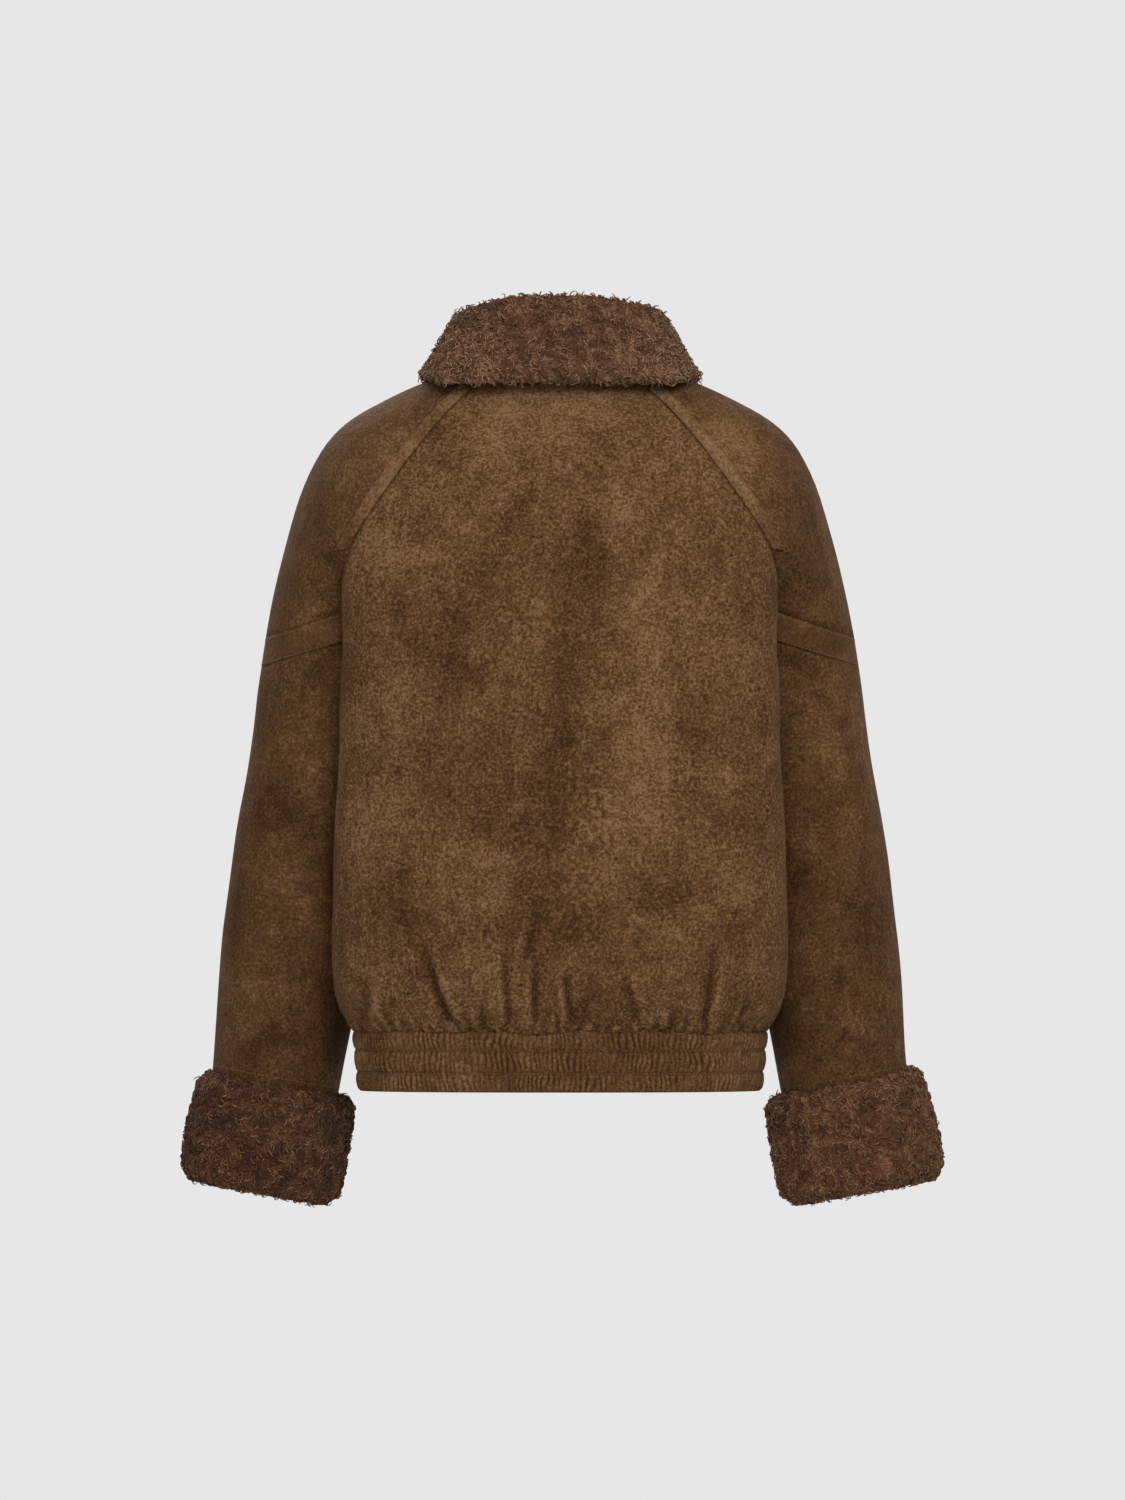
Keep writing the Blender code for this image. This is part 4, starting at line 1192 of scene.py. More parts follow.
# ---- Shearling ---------------------------------------------------------------------------------
@dataclass
class Pelt:
    """A piece of shearling: a bumpy base, and thousands of short curled locks in clumps."""

    node: str
    cut: Cut
    material: bpy.types.Material
    seed: int
    locks: int
    clump: float = 6.5 * MM
    bump: float = 2.8 * MM
    lock_length: float = 8.2 * MM
    lock_root: float = 0.88 * MM
    lock_tip: float = 0.34 * MM
    rings: int = 4
    sides: int = 3
    spread: float = 0.62
    root_sink: float = 0.4 * MM
    clear: float = 1.5 * MM
    cover: float = 14.0 * MM
    sink: float = 2.0 * MM
    drop: float = 0.0
    drop_from: float = 40.0 * MM
    fit: OverPoints | None = None
    level: int = 3
    parts: int = 1
    patches: Sequence[Patch] = ()

    def build(
        self,
        frame: Frame,
        neighbours: Sequence[bpy.types.Object],
    ) -> None:
        """Makes the base and its locks.

        Args:
            frame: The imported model.
            neighbours: Pieces that hide the wool pressed against them.
        """
        random = np.random.default_rng(self.seed)
        base = welded_copy(frame["nodes"][self.node], f"pelt_{self.node}", 25.0, 0.55)
        with_modifier(base, "SUBSURF", {"levels": self.level, "render_levels": self.level})
        points = points_of(base.data)
        points[:, 2] -= self.drop * smooth((self.drop_from - points[:, 2]) / 0.045)
        if self.fit is not None:
            points = self.fit(points)
        move_points(base.data, points)
        normals = normals_of(base.data)
        clumps = self.clump_middles(base, random)
        near, distance = nearest(points, clumps)
        mound = 1.0 - self.from_middle(distance) ** 2
        rise = mound * self.bump - self.sink
        # What faces down stays in its place, so that the seam under it stays closed.
        rise *= 1.0 - smooth((-normals[:, 2] - 0.45) / 0.30)
        move_points(base.data, points + normals * rise[:, None])
        tones = random.random(len(clumps))
        # The base's hollows get a low height, which the wool's material paints as shade.
        paint(base.data, "height", 0.02 + 0.25 * mound)
        paint(base.data, "tone", tones[near] * 0.6)
        base.data.shade_smooth()
        hidden = surface_of([*neighbours, base])
        pieces = self.curls(base, clumps, tones, hidden, random)
        finished(base, self.material, "shearling")
        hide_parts(self.node)
        count = len(base.data.polygons)
        LOG.info("%s: %d faces, %d pieces of locks", base.name, count, len(pieces))

    def from_middle(self, distance: np.ndarray) -> np.ndarray:
        """How far out in its clump each distance lies, from 0 to 1."""
        return np.clip(distance / (self.clump * self.spread), 0.0, 1.0)

    def centre(self, points: np.ndarray) -> float:
        """The middle of the pelt across the jacket."""
        return float((points[:, 0].max() + points[:, 0].min()) / 2.0)

    def clump_middles(self, base: bpy.types.Object, random: np.random.Generator) -> np.ndarray:
        """Places about a clump apart all over the base."""
        points, _ = scattered(base.data, self.locks, random)
        return thinned(points, self.clump * 0.85)

    def roots(
        self, base: bpy.types.Object, hidden: BVHTree, random: np.random.Generator
    ) -> PlacesAndWays:
        """Finds where the locks grow: evenly spread places that nothing lies close over.

        Args:
            base: The base they grow from.
            hidden: What a lock may be hidden by.
            random: Where their unevenness comes from.

        Returns:
            The places and the base's normals there.
        """
        roots, normals = scattered(base.data, self.locks * 3, random)
        keep = thinned_mask(roots, math.sqrt(base_area(base.data) / self.locks) * 0.80)
        roots, normals = roots[keep], normals[keep]
        seen = np.array([
            hidden.ray_cast(Vector(root + way * self.clear), Vector(way), self.cover)[0] is None
            for root, way in zip(roots, normals)
        ])
        return roots[seen], normals[seen]

    def leaning(
        self,
        roots: np.ndarray,
        normals: np.ndarray,
        clumps: np.ndarray,
        near: np.ndarray,
        random: np.random.Generator,
    ) -> np.ndarray:
        """Works out which way each lock leans: round its clump's middle, down and outwards.

        Args:
            roots: Where the locks grow.
            normals: The base's normals there.
            clumps: The clumps' middles.
            near: Which clump each lock belongs to.
            random: Where their unevenness comes from.

        Returns:
            A unit direction along the base for each lock.
        """
        inward = unit(along_surface(clumps[near] - roots, normals))
        whirl = np.cross(normals, inward)
        turn = np.where(random.random(len(clumps)) < 0.5, -1.0, 1.0)[near][:, None]
        jitter = random.normal(0.0, 0.50, (len(roots), 3))
        lean = inward * 0.45 + whirl * turn * 0.55 + jitter
        lean[:, 2] -= 0.55
        lean[:, 0] += 2.5 * np.clip(roots[:, 0] - self.centre(roots), -0.12, 0.12)
        return unit(along_surface(lean, normals))

    def grown(
        self,
        roots: np.ndarray,
        normals: np.ndarray,
        lean: np.ndarray,
        close: np.ndarray,
        random: np.random.Generator,
    ) -> tuple[np.ndarray, np.ndarray]:
        """Grows each lock ring by ring, standing up at first and curling over to its tip.

        Args:
            roots: Where the locks grow.
            normals: The base's normals there.
            lean: Which way each lock leans.
            close: How near its clump's middle each is, from 0 to 1.
            random: Where their unevenness comes from.

        Returns:
            The points of each lock, and how high up the lock each point is, from 0 to 1.
        """
        count = len(roots)
        side = np.cross(normals, lean)
        length = self.lock_length * random.uniform(0.70, 1.25, count)
        stand = 0.38 + 0.48 * close + random.uniform(-0.15, 0.22, count)
        curl = random.uniform(1.7, 3.4, count)
        bend = random.uniform(-2.8, 2.8, count)
        points = np.zeros((count, self.rings * self.sides + 1, 3))
        height = np.zeros((count, self.rings * self.sides + 1))
        heading = np.arctan2(stand, 1.0)
        place = roots - normals * self.root_sink
        step = (length / self.rings)[:, None]
        for ring in range(self.rings):
            share = ring / self.rings
            angle = heading - curl * share**1.2
            swing = bend * share
            flat = lean * np.cos(swing)[:, None] + side * np.sin(swing)[:, None]
            forward = flat * np.cos(angle)[:, None] + normals * np.sin(angle)[:, None]
            over = normals * np.cos(angle)[:, None] - flat * np.sin(angle)[:, None]
            across = np.cross(forward, over)
            width = self.lock_root * (1.0 - share) + self.lock_tip * share
            width *= 1.0 - 0.35 * (ring == 0)
            for k in range(self.sides):
                around = math.tau * k / self.sides + share * 2.0
                spread = over * math.cos(around) + across * math.sin(around)
                points[:, ring * self.sides + k] = place + spread * width
                # Lower rings get a low height, which the wool's material paints darker as shade at
                # the roots.
                height[:, ring * self.sides + k] = 0.15 + share * 0.75
            place = place + forward * step
        points[:, -1] = place
        height[:, -1] = 1.0
        return points, height

    def lock_faces(self) -> np.ndarray:
        """The triangles of one lock, whose last point is its tip.

        Returns:
            Three points for each triangle.
        """
        faces = []
        for one, two, three, four in tube_faces(0, self.rings, self.sides):
            faces += [(one, two, three), (one, three, four)]
        last = (self.rings - 1) * self.sides
        tip = self.rings * self.sides
        faces += [(last + k, last + (k + 1) % self.sides, tip) for k in range(self.sides)]
        return np.array([*faces, (2, 1, 0)])

    def curls(
        self,
        base: bpy.types.Object,
        clumps: np.ndarray,
        tones: np.ndarray,
        hidden: BVHTree,
        random: np.random.Generator,
    ) -> list[bpy.types.Object]:
        """Makes the locks: each leans round its clump's middle and curls over at its tip.

        Args:
            base: The base they grow from.
            clumps: The clumps' middles.
            tones: Each clump's tone.
            hidden: What a lock may be hidden by.
            random: Where its unevenness comes from.

        Returns:
            The pieces, each with some of the locks.
        """
        roots, normals = self.roots(base, hidden, random)
        near, distance = nearest(roots, clumps)
        lean = self.leaning(roots, normals, clumps, near, random)
        close = 1.0 - self.from_middle(distance)
        points, height = self.grown(roots, normals, lean, close, random)
        shade = tones[near] * 0.8 + random.normal(0.1, 0.20, len(roots))
        for patch in self.patches:
            shade += patch.shade(roots) * facing(patch.side, normals)
        tone = np.clip(shade, -0.4, 1.6)
        shape = self.lock_faces()
        each = self.rings * self.sides + 1
        order = np.argsort(roots[:, 0], kind="stable")
        pieces = []
        for number, group in enumerate(np.array_split(order, self.parts)):
            faces = (shape[None] + (np.arange(len(group)) * each)[:, None, None]).reshape(-1, 3)
            name = f"locks_{self.node}_{number + 1}"
            piece = piece_from_arrays(name, points[group].reshape(-1, 3), faces)
            paint(piece.data, "height", height[group].ravel())
            paint(piece.data, "tone", np.repeat(tone[group], each))
            finished(piece, self.material, "shearling")
            pieces.append(piece)
            LOG.info("%s: %d locks, %d faces", name, len(group), len(faces))
        return pieces


def base_area(mesh: bpy.types.Mesh) -> float:
    """A mesh's whole area."""
    return sum(face.area for face in mesh.polygons)


def scattered(mesh: bpy.types.Mesh, count: int, random: np.random.Generator) -> PlacesAndWays:
    """Places scattered evenly over a mesh's faces, and the normals there.

    Args:
        mesh: The mesh.
        count: How many places.
        random: Where they come from.

    Returns:
        The places and the normals.
    """
    mesh.calc_loop_triangles()
    corners = np.array([tri.vertices for tri in mesh.loop_triangles])
    points = points_of(mesh)
    normals = normals_of(mesh)
    one, two, three = (points[corners[:, k]] for k in range(3))
    areas = np.linalg.norm(np.cross(two - one, three - one), axis=1)
    chosen = random.choice(len(corners), count, p=areas / areas.sum())
    first = np.sqrt(random.random(count))[:, None]
    second = random.random(count)[:, None]
    shares = (1.0 - first, first * (1.0 - second), first * second)
    places = sum(share * points[corners[chosen, k]] for k, share in enumerate(shares))
    ways = sum(share * normals[corners[chosen, k]] for k, share in enumerate(shares))
    return places, unit(ways)


CELLS_AROUND = tuple(itertools.product((-1, 0, 1), repeat=3))


def thinned_mask(points: np.ndarray, spacing: float) -> np.ndarray:
    """Which points are left when each keeps this far from those before it.

    Args:
        points: The points.
        spacing: The least distance between two that are left.

    Returns:
        True for each point that is left.
    """
    cells: dict[tuple[int, int, int], list[np.ndarray]] = {}
    keep = np.zeros(len(points), bool)
    keys = np.floor(points / spacing).astype(int)
    for i, (point, (x, y, z)) in enumerate(zip(points, keys)):
        keep[i] = not any(
            np.sum((point - other) ** 2) < spacing**2
            for dx, dy, dz in CELLS_AROUND
            for other in cells.get((x + dx, y + dy, z + dz), ())
        )
        if keep[i]:
            cells.setdefault((x, y, z), []).append(point)
    return keep


def thinned(points: np.ndarray, spacing: float) -> np.ndarray:
    """The points that are left when each keeps this far from those before it."""
    return points[thinned_mask(points, spacing)]


NEAREST_BLOCK = 2000


def nearest(points: np.ndarray, targets: np.ndarray) -> tuple[np.ndarray, np.ndarray]:
    """Finds the nearest target to each point, block by block to save memory.

    Args:
        points: The points.
        targets: What they are measured to.

    Returns:
        The number of each point's nearest target, and how far away it is.
    """
    index = np.zeros(len(points), int)
    distance = np.zeros(len(points))
    for start in range(0, len(points), NEAREST_BLOCK):
        block = slice(start, start + NEAREST_BLOCK)
        gaps = np.sum((points[block, None] - targets[None]) ** 2, axis=2)
        index[block] = gaps.argmin(axis=1)
        distance[block] = np.sqrt(gaps.min(axis=1))
    return index, distance


COLLAR_CORNERS_IN = 4.5 * MM
COLLAR_EDGE_DOWN = 5.0 * MM
CUFF_OUT = {"left": 3.0 * MM, "right": 7.5 * MM}
RIGHT_CUFF_UP = 7.0 * MM


def settled_collar(points: np.ndarray) -> np.ndarray:
    """The collar with its corners drawn in and its upper edge pressed down.

    Args:
        points: The collar's points, which are moved.

    Returns:
        The same points.
    """
    reach = np.abs(points[:, 0])
    points[:, 0] -= np.sign(points[:, 0]) * COLLAR_CORNERS_IN * smooth((reach - 0.085) / 0.040)
    points[:, 2] -= COLLAR_EDGE_DOWN * smooth((points[:, 2] - 0.058) / 0.022)
    return points


def flared_cuff(points: np.ndarray) -> np.ndarray:
    """A cuff whose lower outer side stands out, and the right one's upper outer side up.

    Args:
        points: The cuff's points, which are moved.

    Returns:
        The same points.
    """
    reach = np.abs(points[:, 0])
    least, most = reach.min(), reach.max()
    across = (2.0 * reach - least - most) / (most - least)
    down = (points[:, 2].max() - points[:, 2]) / np.ptp(points[:, 2])
    right = points[:, 0].mean() > 0.0
    spread = CUFF_OUT["right" if right else "left"] * smooth(across) * smooth(1.4 * down)
    points[:, 0] += np.sign(points[:, 0]) * spread
    if right:
        points[:, 2] += RIGHT_CUFF_UP * smooth(1.3 * across - 0.3) * (1.0 - smooth(down / 0.6))
    return points


COLLAR_PATCHES = (
    Patch(-100.0, 20.0, 34.0, 28.0, 0.60, Side.BACK),
    Patch(102.0, 22.0, 36.0, 34.0, 0.75, Side.BACK),
    Patch(-30.0, 45.0, 26.0, 22.0, -0.20, Side.BACK),
    Patch(10.0, 40.0, 30.0, 30.0, -0.15, Side.BACK),
    Patch(0.0, 78.0, 60.0, 8.0, 0.25, Side.BACK),
)


# ---- The body ----------------------------------------------------------------------------------
PUCKER_SEAM = -567.0 * MM
PUCKER_PITCH = 11.5 * MM
PUCKER_HEIGHT = 1.4 * MM
PUCKER_SINK = 0.4 * MM
HEM_TUCK = 1.4 * MM
HEM_TUCK_FROM = -555.5 * MM


def puckers(points: np.ndarray) -> np.ndarray:
    """Small puckers that stand just above the hem band's seam and fade upwards.

    Args:
        points: The cloth's points.

    Returns:
        How far each rises, in metres.
    """
    above = points[:, 2] - PUCKER_SEAM
    place = round_body(points)
    turn = place * math.tau / PUCKER_PITCH
    turn += 1.4 * np.sin(place * 61.0) + 0.8 * np.sin(place * 173.0)
    reach = 0.010 + 0.006 * np.sin(place * 87.0 + 1.0)
    fade = np.exp(-((np.maximum(above - 0.003, 0.0) / reach) ** 1.5)) * smooth(above / 0.002 + 0.5)
    return np.sin(turn) * fade * PUCKER_HEIGHT - fade * PUCKER_SINK


def sewn_into_hem(points: np.ndarray) -> np.ndarray:
    """The body's lowest edge let into the hem band, so that no light shows through the seam."""
    points[:, 2] -= HEM_TUCK * smooth((HEM_TUCK_FROM - points[:, 2]) / 0.008)
    return points


BACK_FOLDS = (
    Fold(-124.0, -484.0, -94.5, -562.0, 4.0, 3.6, lean=-1.0),
    Fold(-48.0, -478.0, -45.5, -564.0, 3.2, 2.8, lean=1.0),
    Fold(-24.5, -486.0, -20.0, -564.0, 3.6, 2.8, lean=1.0),
    Fold(2.0, -498.0, 12.0, -564.0, 3.4, 2.8, lean=1.0),
    Fold(-18.0, -452.0, -27.0, -505.0, 2.2, 4.0, lean=1.0),
    Fold(54.0, -500.0, 67.5, -563.0, 2.7, 3.0, lean=-1.0),
    Fold(137.0, -478.0, 126.5, -564.0, 3.6, 3.2, lean=-1.0),
    Fold(163.0, -534.0, 157.5, -564.0, 2.8, 2.6, lean=1.0),
    Fold(-70.0, -535.0, -69.0, -563.0, 1.8, 3.0, lean=1.0),
    Fold(26.0, -515.0, 24.0, -562.0, 1.8, 8.0),
    Fold(98.0, -538.0, 97.0, -563.0, 1.8, 4.0, lean=1.0),
    Fold(-150.0, -530.0, -146.0, -564.0, 1.8, 4.0, lean=-1.0),
    Fold(-176.0, -515.0, -168.0, -562.0, 2.0, 5.0, lean=-1.0),
    Fold(20.0, -60.0, -8.0, -470.0, 1.0, 20.0, sharp_end=0.4),
    Fold(-100.0, -120.0, -88.0, -330.0, 0.8, 18.0, sharp_end=0.4),
    Fold(112.0, -180.0, 104.0, -400.0, 0.8, 17.0, sharp_end=0.4),
)
FRONT_FOLDS = tuple(
    half
    for fold in (
        Fold(28.0, -525.0, 30.0, -558.0, 2.2, 3.0, Side.FRONT, -1.0),
        Fold(60.0, -502.0, 53.0, -557.0, 3.0, 3.2, Side.FRONT, 1.0),
        Fold(84.0, -522.0, 86.0, -557.0, 2.4, 3.0, Side.FRONT, -1.0),
        Fold(119.0, -498.0, 112.0, -557.0, 3.0, 3.4, Side.FRONT, 1.0),
        Fold(148.0, -535.0, 145.0, -560.0, 1.8, 3.0, Side.FRONT, 1.0),
        Fold(120.0, -150.0, 150.0, -215.0, 1.8, 12.0, Side.FRONT),
    )
    for half in (fold, fold.mirrored())
)
# Painted light and shade among the suede's own lighter and darker clouds: the lighter top of the
# back is painted light from above, the dark run down the middle is painted shade along its soft
# trough, and the dark clouds where the gathers above the hem begin are painted shade in them.
BACK_PATCHES = (
    Patch(20.0, -125.0, 17.0, 42.0, -0.50),
    Patch(13.0, -205.0, 20.0, 48.0, -0.45),
    Patch(4.0, -285.0, 16.0, 46.0, -0.32),
    Patch(-4.0, -355.0, 14.0, 46.0, -0.45),
    Patch(-9.0, -440.0, 20.0, 46.0, -0.45),
    Patch(-30.0, -110.0, 22.0, 34.0, -0.25),
    Patch(62.0, -110.0, 26.0, 34.0, 0.45),
    Patch(72.0, -220.0, 30.0, 70.0, 0.50),
    Patch(60.0, -330.0, 34.0, 70.0, 0.35),
    Patch(46.0, -405.0, 26.0, 34.0, 0.35),
    Patch(0.0, -15.0, 120.0, 45.0, 0.70),
    Patch(-70.0, -70.0, 50.0, 40.0, 0.35),
    Patch(-163.0, -155.0, 26.0, 34.0, 0.45),
    Patch(-150.0, -300.0, 26.0, 60.0, 0.25),
    Patch(-92.0, -245.0, 26.0, 44.0, -0.38),
    Patch(-86.0, -378.0, 22.0, 34.0, -0.32),
    Patch(-52.0, -425.0, 20.0, 26.0, 0.35),
    Patch(-132.0, -462.0, 20.0, 24.0, -0.60),
    Patch(-178.0, -420.0, 18.0, 60.0, 0.30),
    Patch(-118.0, -505.0, 14.0, 24.0, -0.35),
    Patch(12.0, -478.0, 28.0, 22.0, -0.50),
    Patch(0.0, -540.0, 60.0, 22.0, -0.20),
    Patch(152.0, -478.0, 22.0, 15.0, -0.60),
    Patch(165.0, -345.0, 12.0, 50.0, -0.40),
    Patch(128.0, -210.0, 24.0, 50.0, 0.35),
    Patch(110.0, -300.0, 16.0, 26.0, -0.22),
    Patch(120.0, -400.0, 34.0, 30.0, 0.28),
    Patch(90.0, -455.0, 26.0, 16.0, -0.25),
)
FRONT_PATCHES = (
    Patch(-60.0, -180.0, 30.0, 90.0, 0.35, Side.FRONT),
    Patch(70.0, -260.0, 36.0, 110.0, 0.35, Side.FRONT),
    Patch(-110.0, -330.0, 40.0, 60.0, -0.35, Side.FRONT),
    Patch(130.0, -420.0, 34.0, 40.0, -0.40, Side.FRONT),
    Patch(-70.0, -470.0, 40.0, 34.0, 0.25, Side.FRONT),
    Patch(30.0, -500.0, 24.0, 40.0, -0.30, Side.FRONT),
    Patch(100.0, -110.0, 34.0, 40.0, 0.30, Side.FRONT),
)
WELT_PATCHES = (
    Patch(-180.0, -135.0, 26.0, 24.0, -0.9, Side.BOTH),
    Patch(180.0, -135.0, 26.0, 24.0, -0.9, Side.BOTH),
)


def beside_zip(points: np.ndarray) -> np.ndarray:
    """Which places on a front lie beside the zip, below the neck seam."""
    return (np.abs(points[:, 0]) < 16.0 * MM) & (points[:, 2] < -50.0 * MM)


@dataclass
class Body:
    """The back, the two fronts and the welts that cover the raglan seams."""

    suede: bpy.types.Material
    welt: bpy.types.Material
    seamstress: Seamstress
    back_cut: Cut = Cut(0.560, 0.600, 0.300)
    front_cut: Cut = Cut(0.270, 0.520, 0.112)
    welt_cut: Cut = Cut(0.0125, 0.215, 0.0024)
    welt_inset: float = 1.9 * MM
    zip_inset: float = 5.0 * MM

    def build(self, frame: Frame) -> list[bpy.types.Object]:
        """Builds the torso's panels and sews them.

        Args:
            frame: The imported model.

        Returns:
            The panels' pieces.
        """
        nodes = frame["nodes"]
        back = Panel(
            "back", self.back_cut, self.suede, folds=BACK_FOLDS, patches=BACK_PATCHES,
            relief=puckers, fit=sewn_into_hem, soft=0.7 * MM,
        ).build(frame)
        made = [back.piece]
        for hand in HANDS:
            front = Panel(
                f"front_{hand}", self.front_cut, self.suede, folds=FRONT_FOLDS,
                patches=FRONT_PATCHES, relief=puckers, fit=sewn_into_hem, soft=0.7 * MM,
            ).build(frame)
            made.append(front.piece)
            lines = self.seamstress.beside_edge(
                front, nodes[front.node], self.zip_inset, beside_zip
            )
            self.seamstress.stitches(f"zip_stitches_{hand}", lines)
            for face in ("back", "front"):
                welt = Panel(
                    f"raglan_welt_{face}_{hand}", self.welt_cut, self.welt,
                    outward=out_of_sleeve, patches=WELT_PATCHES,
                ).build(frame)
                made.append(welt.piece)
                lines = self.seamstress.beside_edge(welt, nodes[welt.node], self.welt_inset)
                self.seamstress.stitches(f"welt_stitches_{face}_{hand}", lines)
        return made


# ---- The sleeves -------------------------------------------------------------------------------
SLEEVE_FOLDS = (
    Fold(172.0, -205.0, 226.0, -262.0, 1.8, 8.0),
    Fold(196.0, -395.0, 258.0, -352.0, 1.4, 11.0),
    Fold(205.0, -432.0, 268.0, -470.0, 1.3, 10.0),
    Fold(212.0, -560.0, 282.0, -590.0, 1.6, 7.0),
    Fold(226.0, -545.0, 286.0, -548.0, 1.2, 9.0),
    Fold(172.0, -205.0, 226.0, -262.0, 1.8, 8.0, Side.FRONT),
    Fold(188.0, -372.0, 252.0, -398.0, 2.2, 10.0, Side.FRONT),
    Fold(192.0, -405.0, 262.0, -388.0, 1.8, 9.0, Side.FRONT),
    Fold(206.0, -480.0, 276.0, -512.0, 1.4, 12.0, Side.FRONT),
    Fold(216.0, -566.0, 290.0, -588.0, 1.6, 7.0, Side.FRONT),
)
# Painted light and shade among the suede's own lighter and darker clouds: the lighter shoulders are
# painted light from above, stronger on the right, and the dark clouds near each sleeve's outer side
# are painted shade where it turns away.
RIGHT_SLEEVE_PATCHES = (
    Patch(140.0, -60.0, 60.0, 50.0, 0.65),
    Patch(200.0, -90.0, 30.0, 40.0, -0.15),
    Patch(262.0, -225.0, 20.0, 40.0, -0.30),
    Patch(225.0, -290.0, 24.0, 34.0, 0.30),
    Patch(245.0, -350.0, 26.0, 30.0, 0.22),
    Patch(285.0, -440.0, 22.0, 60.0, -0.45),
    Patch(250.0, -465.0, 30.0, 26.0, -0.25),
    Patch(255.0, -425.0, 20.0, 20.0, 0.25),
    Patch(230.0, -560.0, 30.0, 36.0, -0.20),
    Patch(285.0, -530.0, 20.0, 34.0, 0.25),
    Patch(240.0, -400.0, 40.0, 70.0, 0.25, Side.FRONT),
    Patch(270.0, -520.0, 30.0, 50.0, -0.30, Side.FRONT),
)
LEFT_SLEEVE_PATCHES = (
    Patch(-140.0, -60.0, 60.0, 50.0, 0.55),
    Patch(-205.0, -110.0, 34.0, 40.0, -0.20),
    Patch(-222.0, -235.0, 26.0, 30.0, 0.30),
    Patch(-215.0, -330.0, 26.0, 40.0, 0.22),
    Patch(-262.0, -380.0, 30.0, 30.0, -0.45),
    Patch(-225.0, -372.0, 24.0, 22.0, 0.18),
    Patch(-285.0, -420.0, 20.0, 40.0, -0.30),
    Patch(-282.0, -472.0, 20.0, 34.0, -0.35),
    Patch(-235.0, -470.0, 26.0, 34.0, 0.28),
    Patch(-230.0, -560.0, 30.0, 36.0, -0.15),
    Patch(-275.0, -540.0, 24.0, 30.0, 0.22),
    Patch(-240.0, -400.0, 40.0, 70.0, 0.25, Side.FRONT),
    Patch(-270.0, -520.0, 30.0, 50.0, -0.30, Side.FRONT),
)


SLEEVE_SWELL = 3.2 * MM


def fuller(points: np.ndarray) -> np.ndarray:
    """How far the cloth stands out on the sleeves' outer sides, in metres."""
    side = np.where(points[:, 0] < 0.0, -1.0, 1.0)
    return SLEEVE_SWELL * smooth((out_of_sleeve(points)[:, 0] * side - 0.15) / 0.60)


@dataclass
class Sleeve:
    """One raglan sleeve: its upper piece, the band under it, and the long lower piece."""

    hand: str
    suede: bpy.types.Material
    band: bpy.types.Material
    seamstress: Seamstress
    upper_cut: Cut = Cut(0.400, 0.270, 0.069)
    band_cut: Cut = Cut(0.330, 0.032, 0.0088)
    lower_cut: Cut = Cut(0.450, 0.480, 0.185)
    band_inset: float = 1.9 * MM
    wrist_middle: tuple[float, float, float] = (249.5 * MM, 41.0 * MM, -609.5 * MM)
    wrist_half: tuple[float, float] = (55.0 * MM, 64.0 * MM)
    wrist_slope: float = 0.185

    def build(self, frame: Frame) -> list[bpy.types.Object]:
        """Builds the sleeve's pieces and sews them.

        Args:
            frame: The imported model.

        Returns:
            The sleeve's pieces.
        """
        right = self.hand == "right"
        folds = SLEEVE_FOLDS if right else tuple(fold.mirrored() for fold in SLEEVE_FOLDS)
        patches = RIGHT_SLEEVE_PATCHES if right else LEFT_SLEEVE_PATCHES
        upper = Panel(
            f"sleeve_upper_{self.hand}", self.upper_cut, self.suede, outward=out_of_sleeve,
            folds=folds, patches=patches, swell=fuller, soft=0.6 * MM,
        ).build(frame)
        lower = Panel(
            f"sleeve_lower_{self.hand}", self.lower_cut, self.suede, outward=out_of_sleeve,
            folds=folds, patches=patches, swell=fuller, soft=0.6 * MM,
        ).build(frame)
        band = Panel(
            f"sleeve_band_{self.hand}", self.band_cut, self.band, outward=out_of_sleeve,
            swell=fuller, level=3,
        ).build(frame)
        node = frame["nodes"][band.node]
        lines = self.seamstress.beside_edge(band, node, self.band_inset)
        self.seamstress.stitches(f"band_stitches_{self.hand}", lines)
        self.seamstress.stitches(f"wrist_stitches_{self.hand}", self.wrist_line(lower))
        return [upper.piece, band.piece, lower.piece]

    def wrist_line(self, lower: Panel) -> list[PlacesAndWays]:
        """The line of stitches round the sleeve just above its cuff.

        Args:
            lower: The sleeve's lower piece.

        Returns:
            For each unbroken line its points and normals.
        """
        side = 1.0 if self.hand == "right" else -1.0
        turns = np.linspace(0.0, math.tau, 121)
        across = self.wrist_half[0] * np.cos(turns)
        x = self.wrist_middle[0] + across
        y = self.wrist_middle[1] + self.wrist_half[1] * np.sin(turns)
        z = self.wrist_middle[2] + self.wrist_slope * across
        path = np.stack([x * side, y, z], axis=1)
        return self.seamstress.on_surface(surface_of([lower.piece]), path, out_of_sleeve)


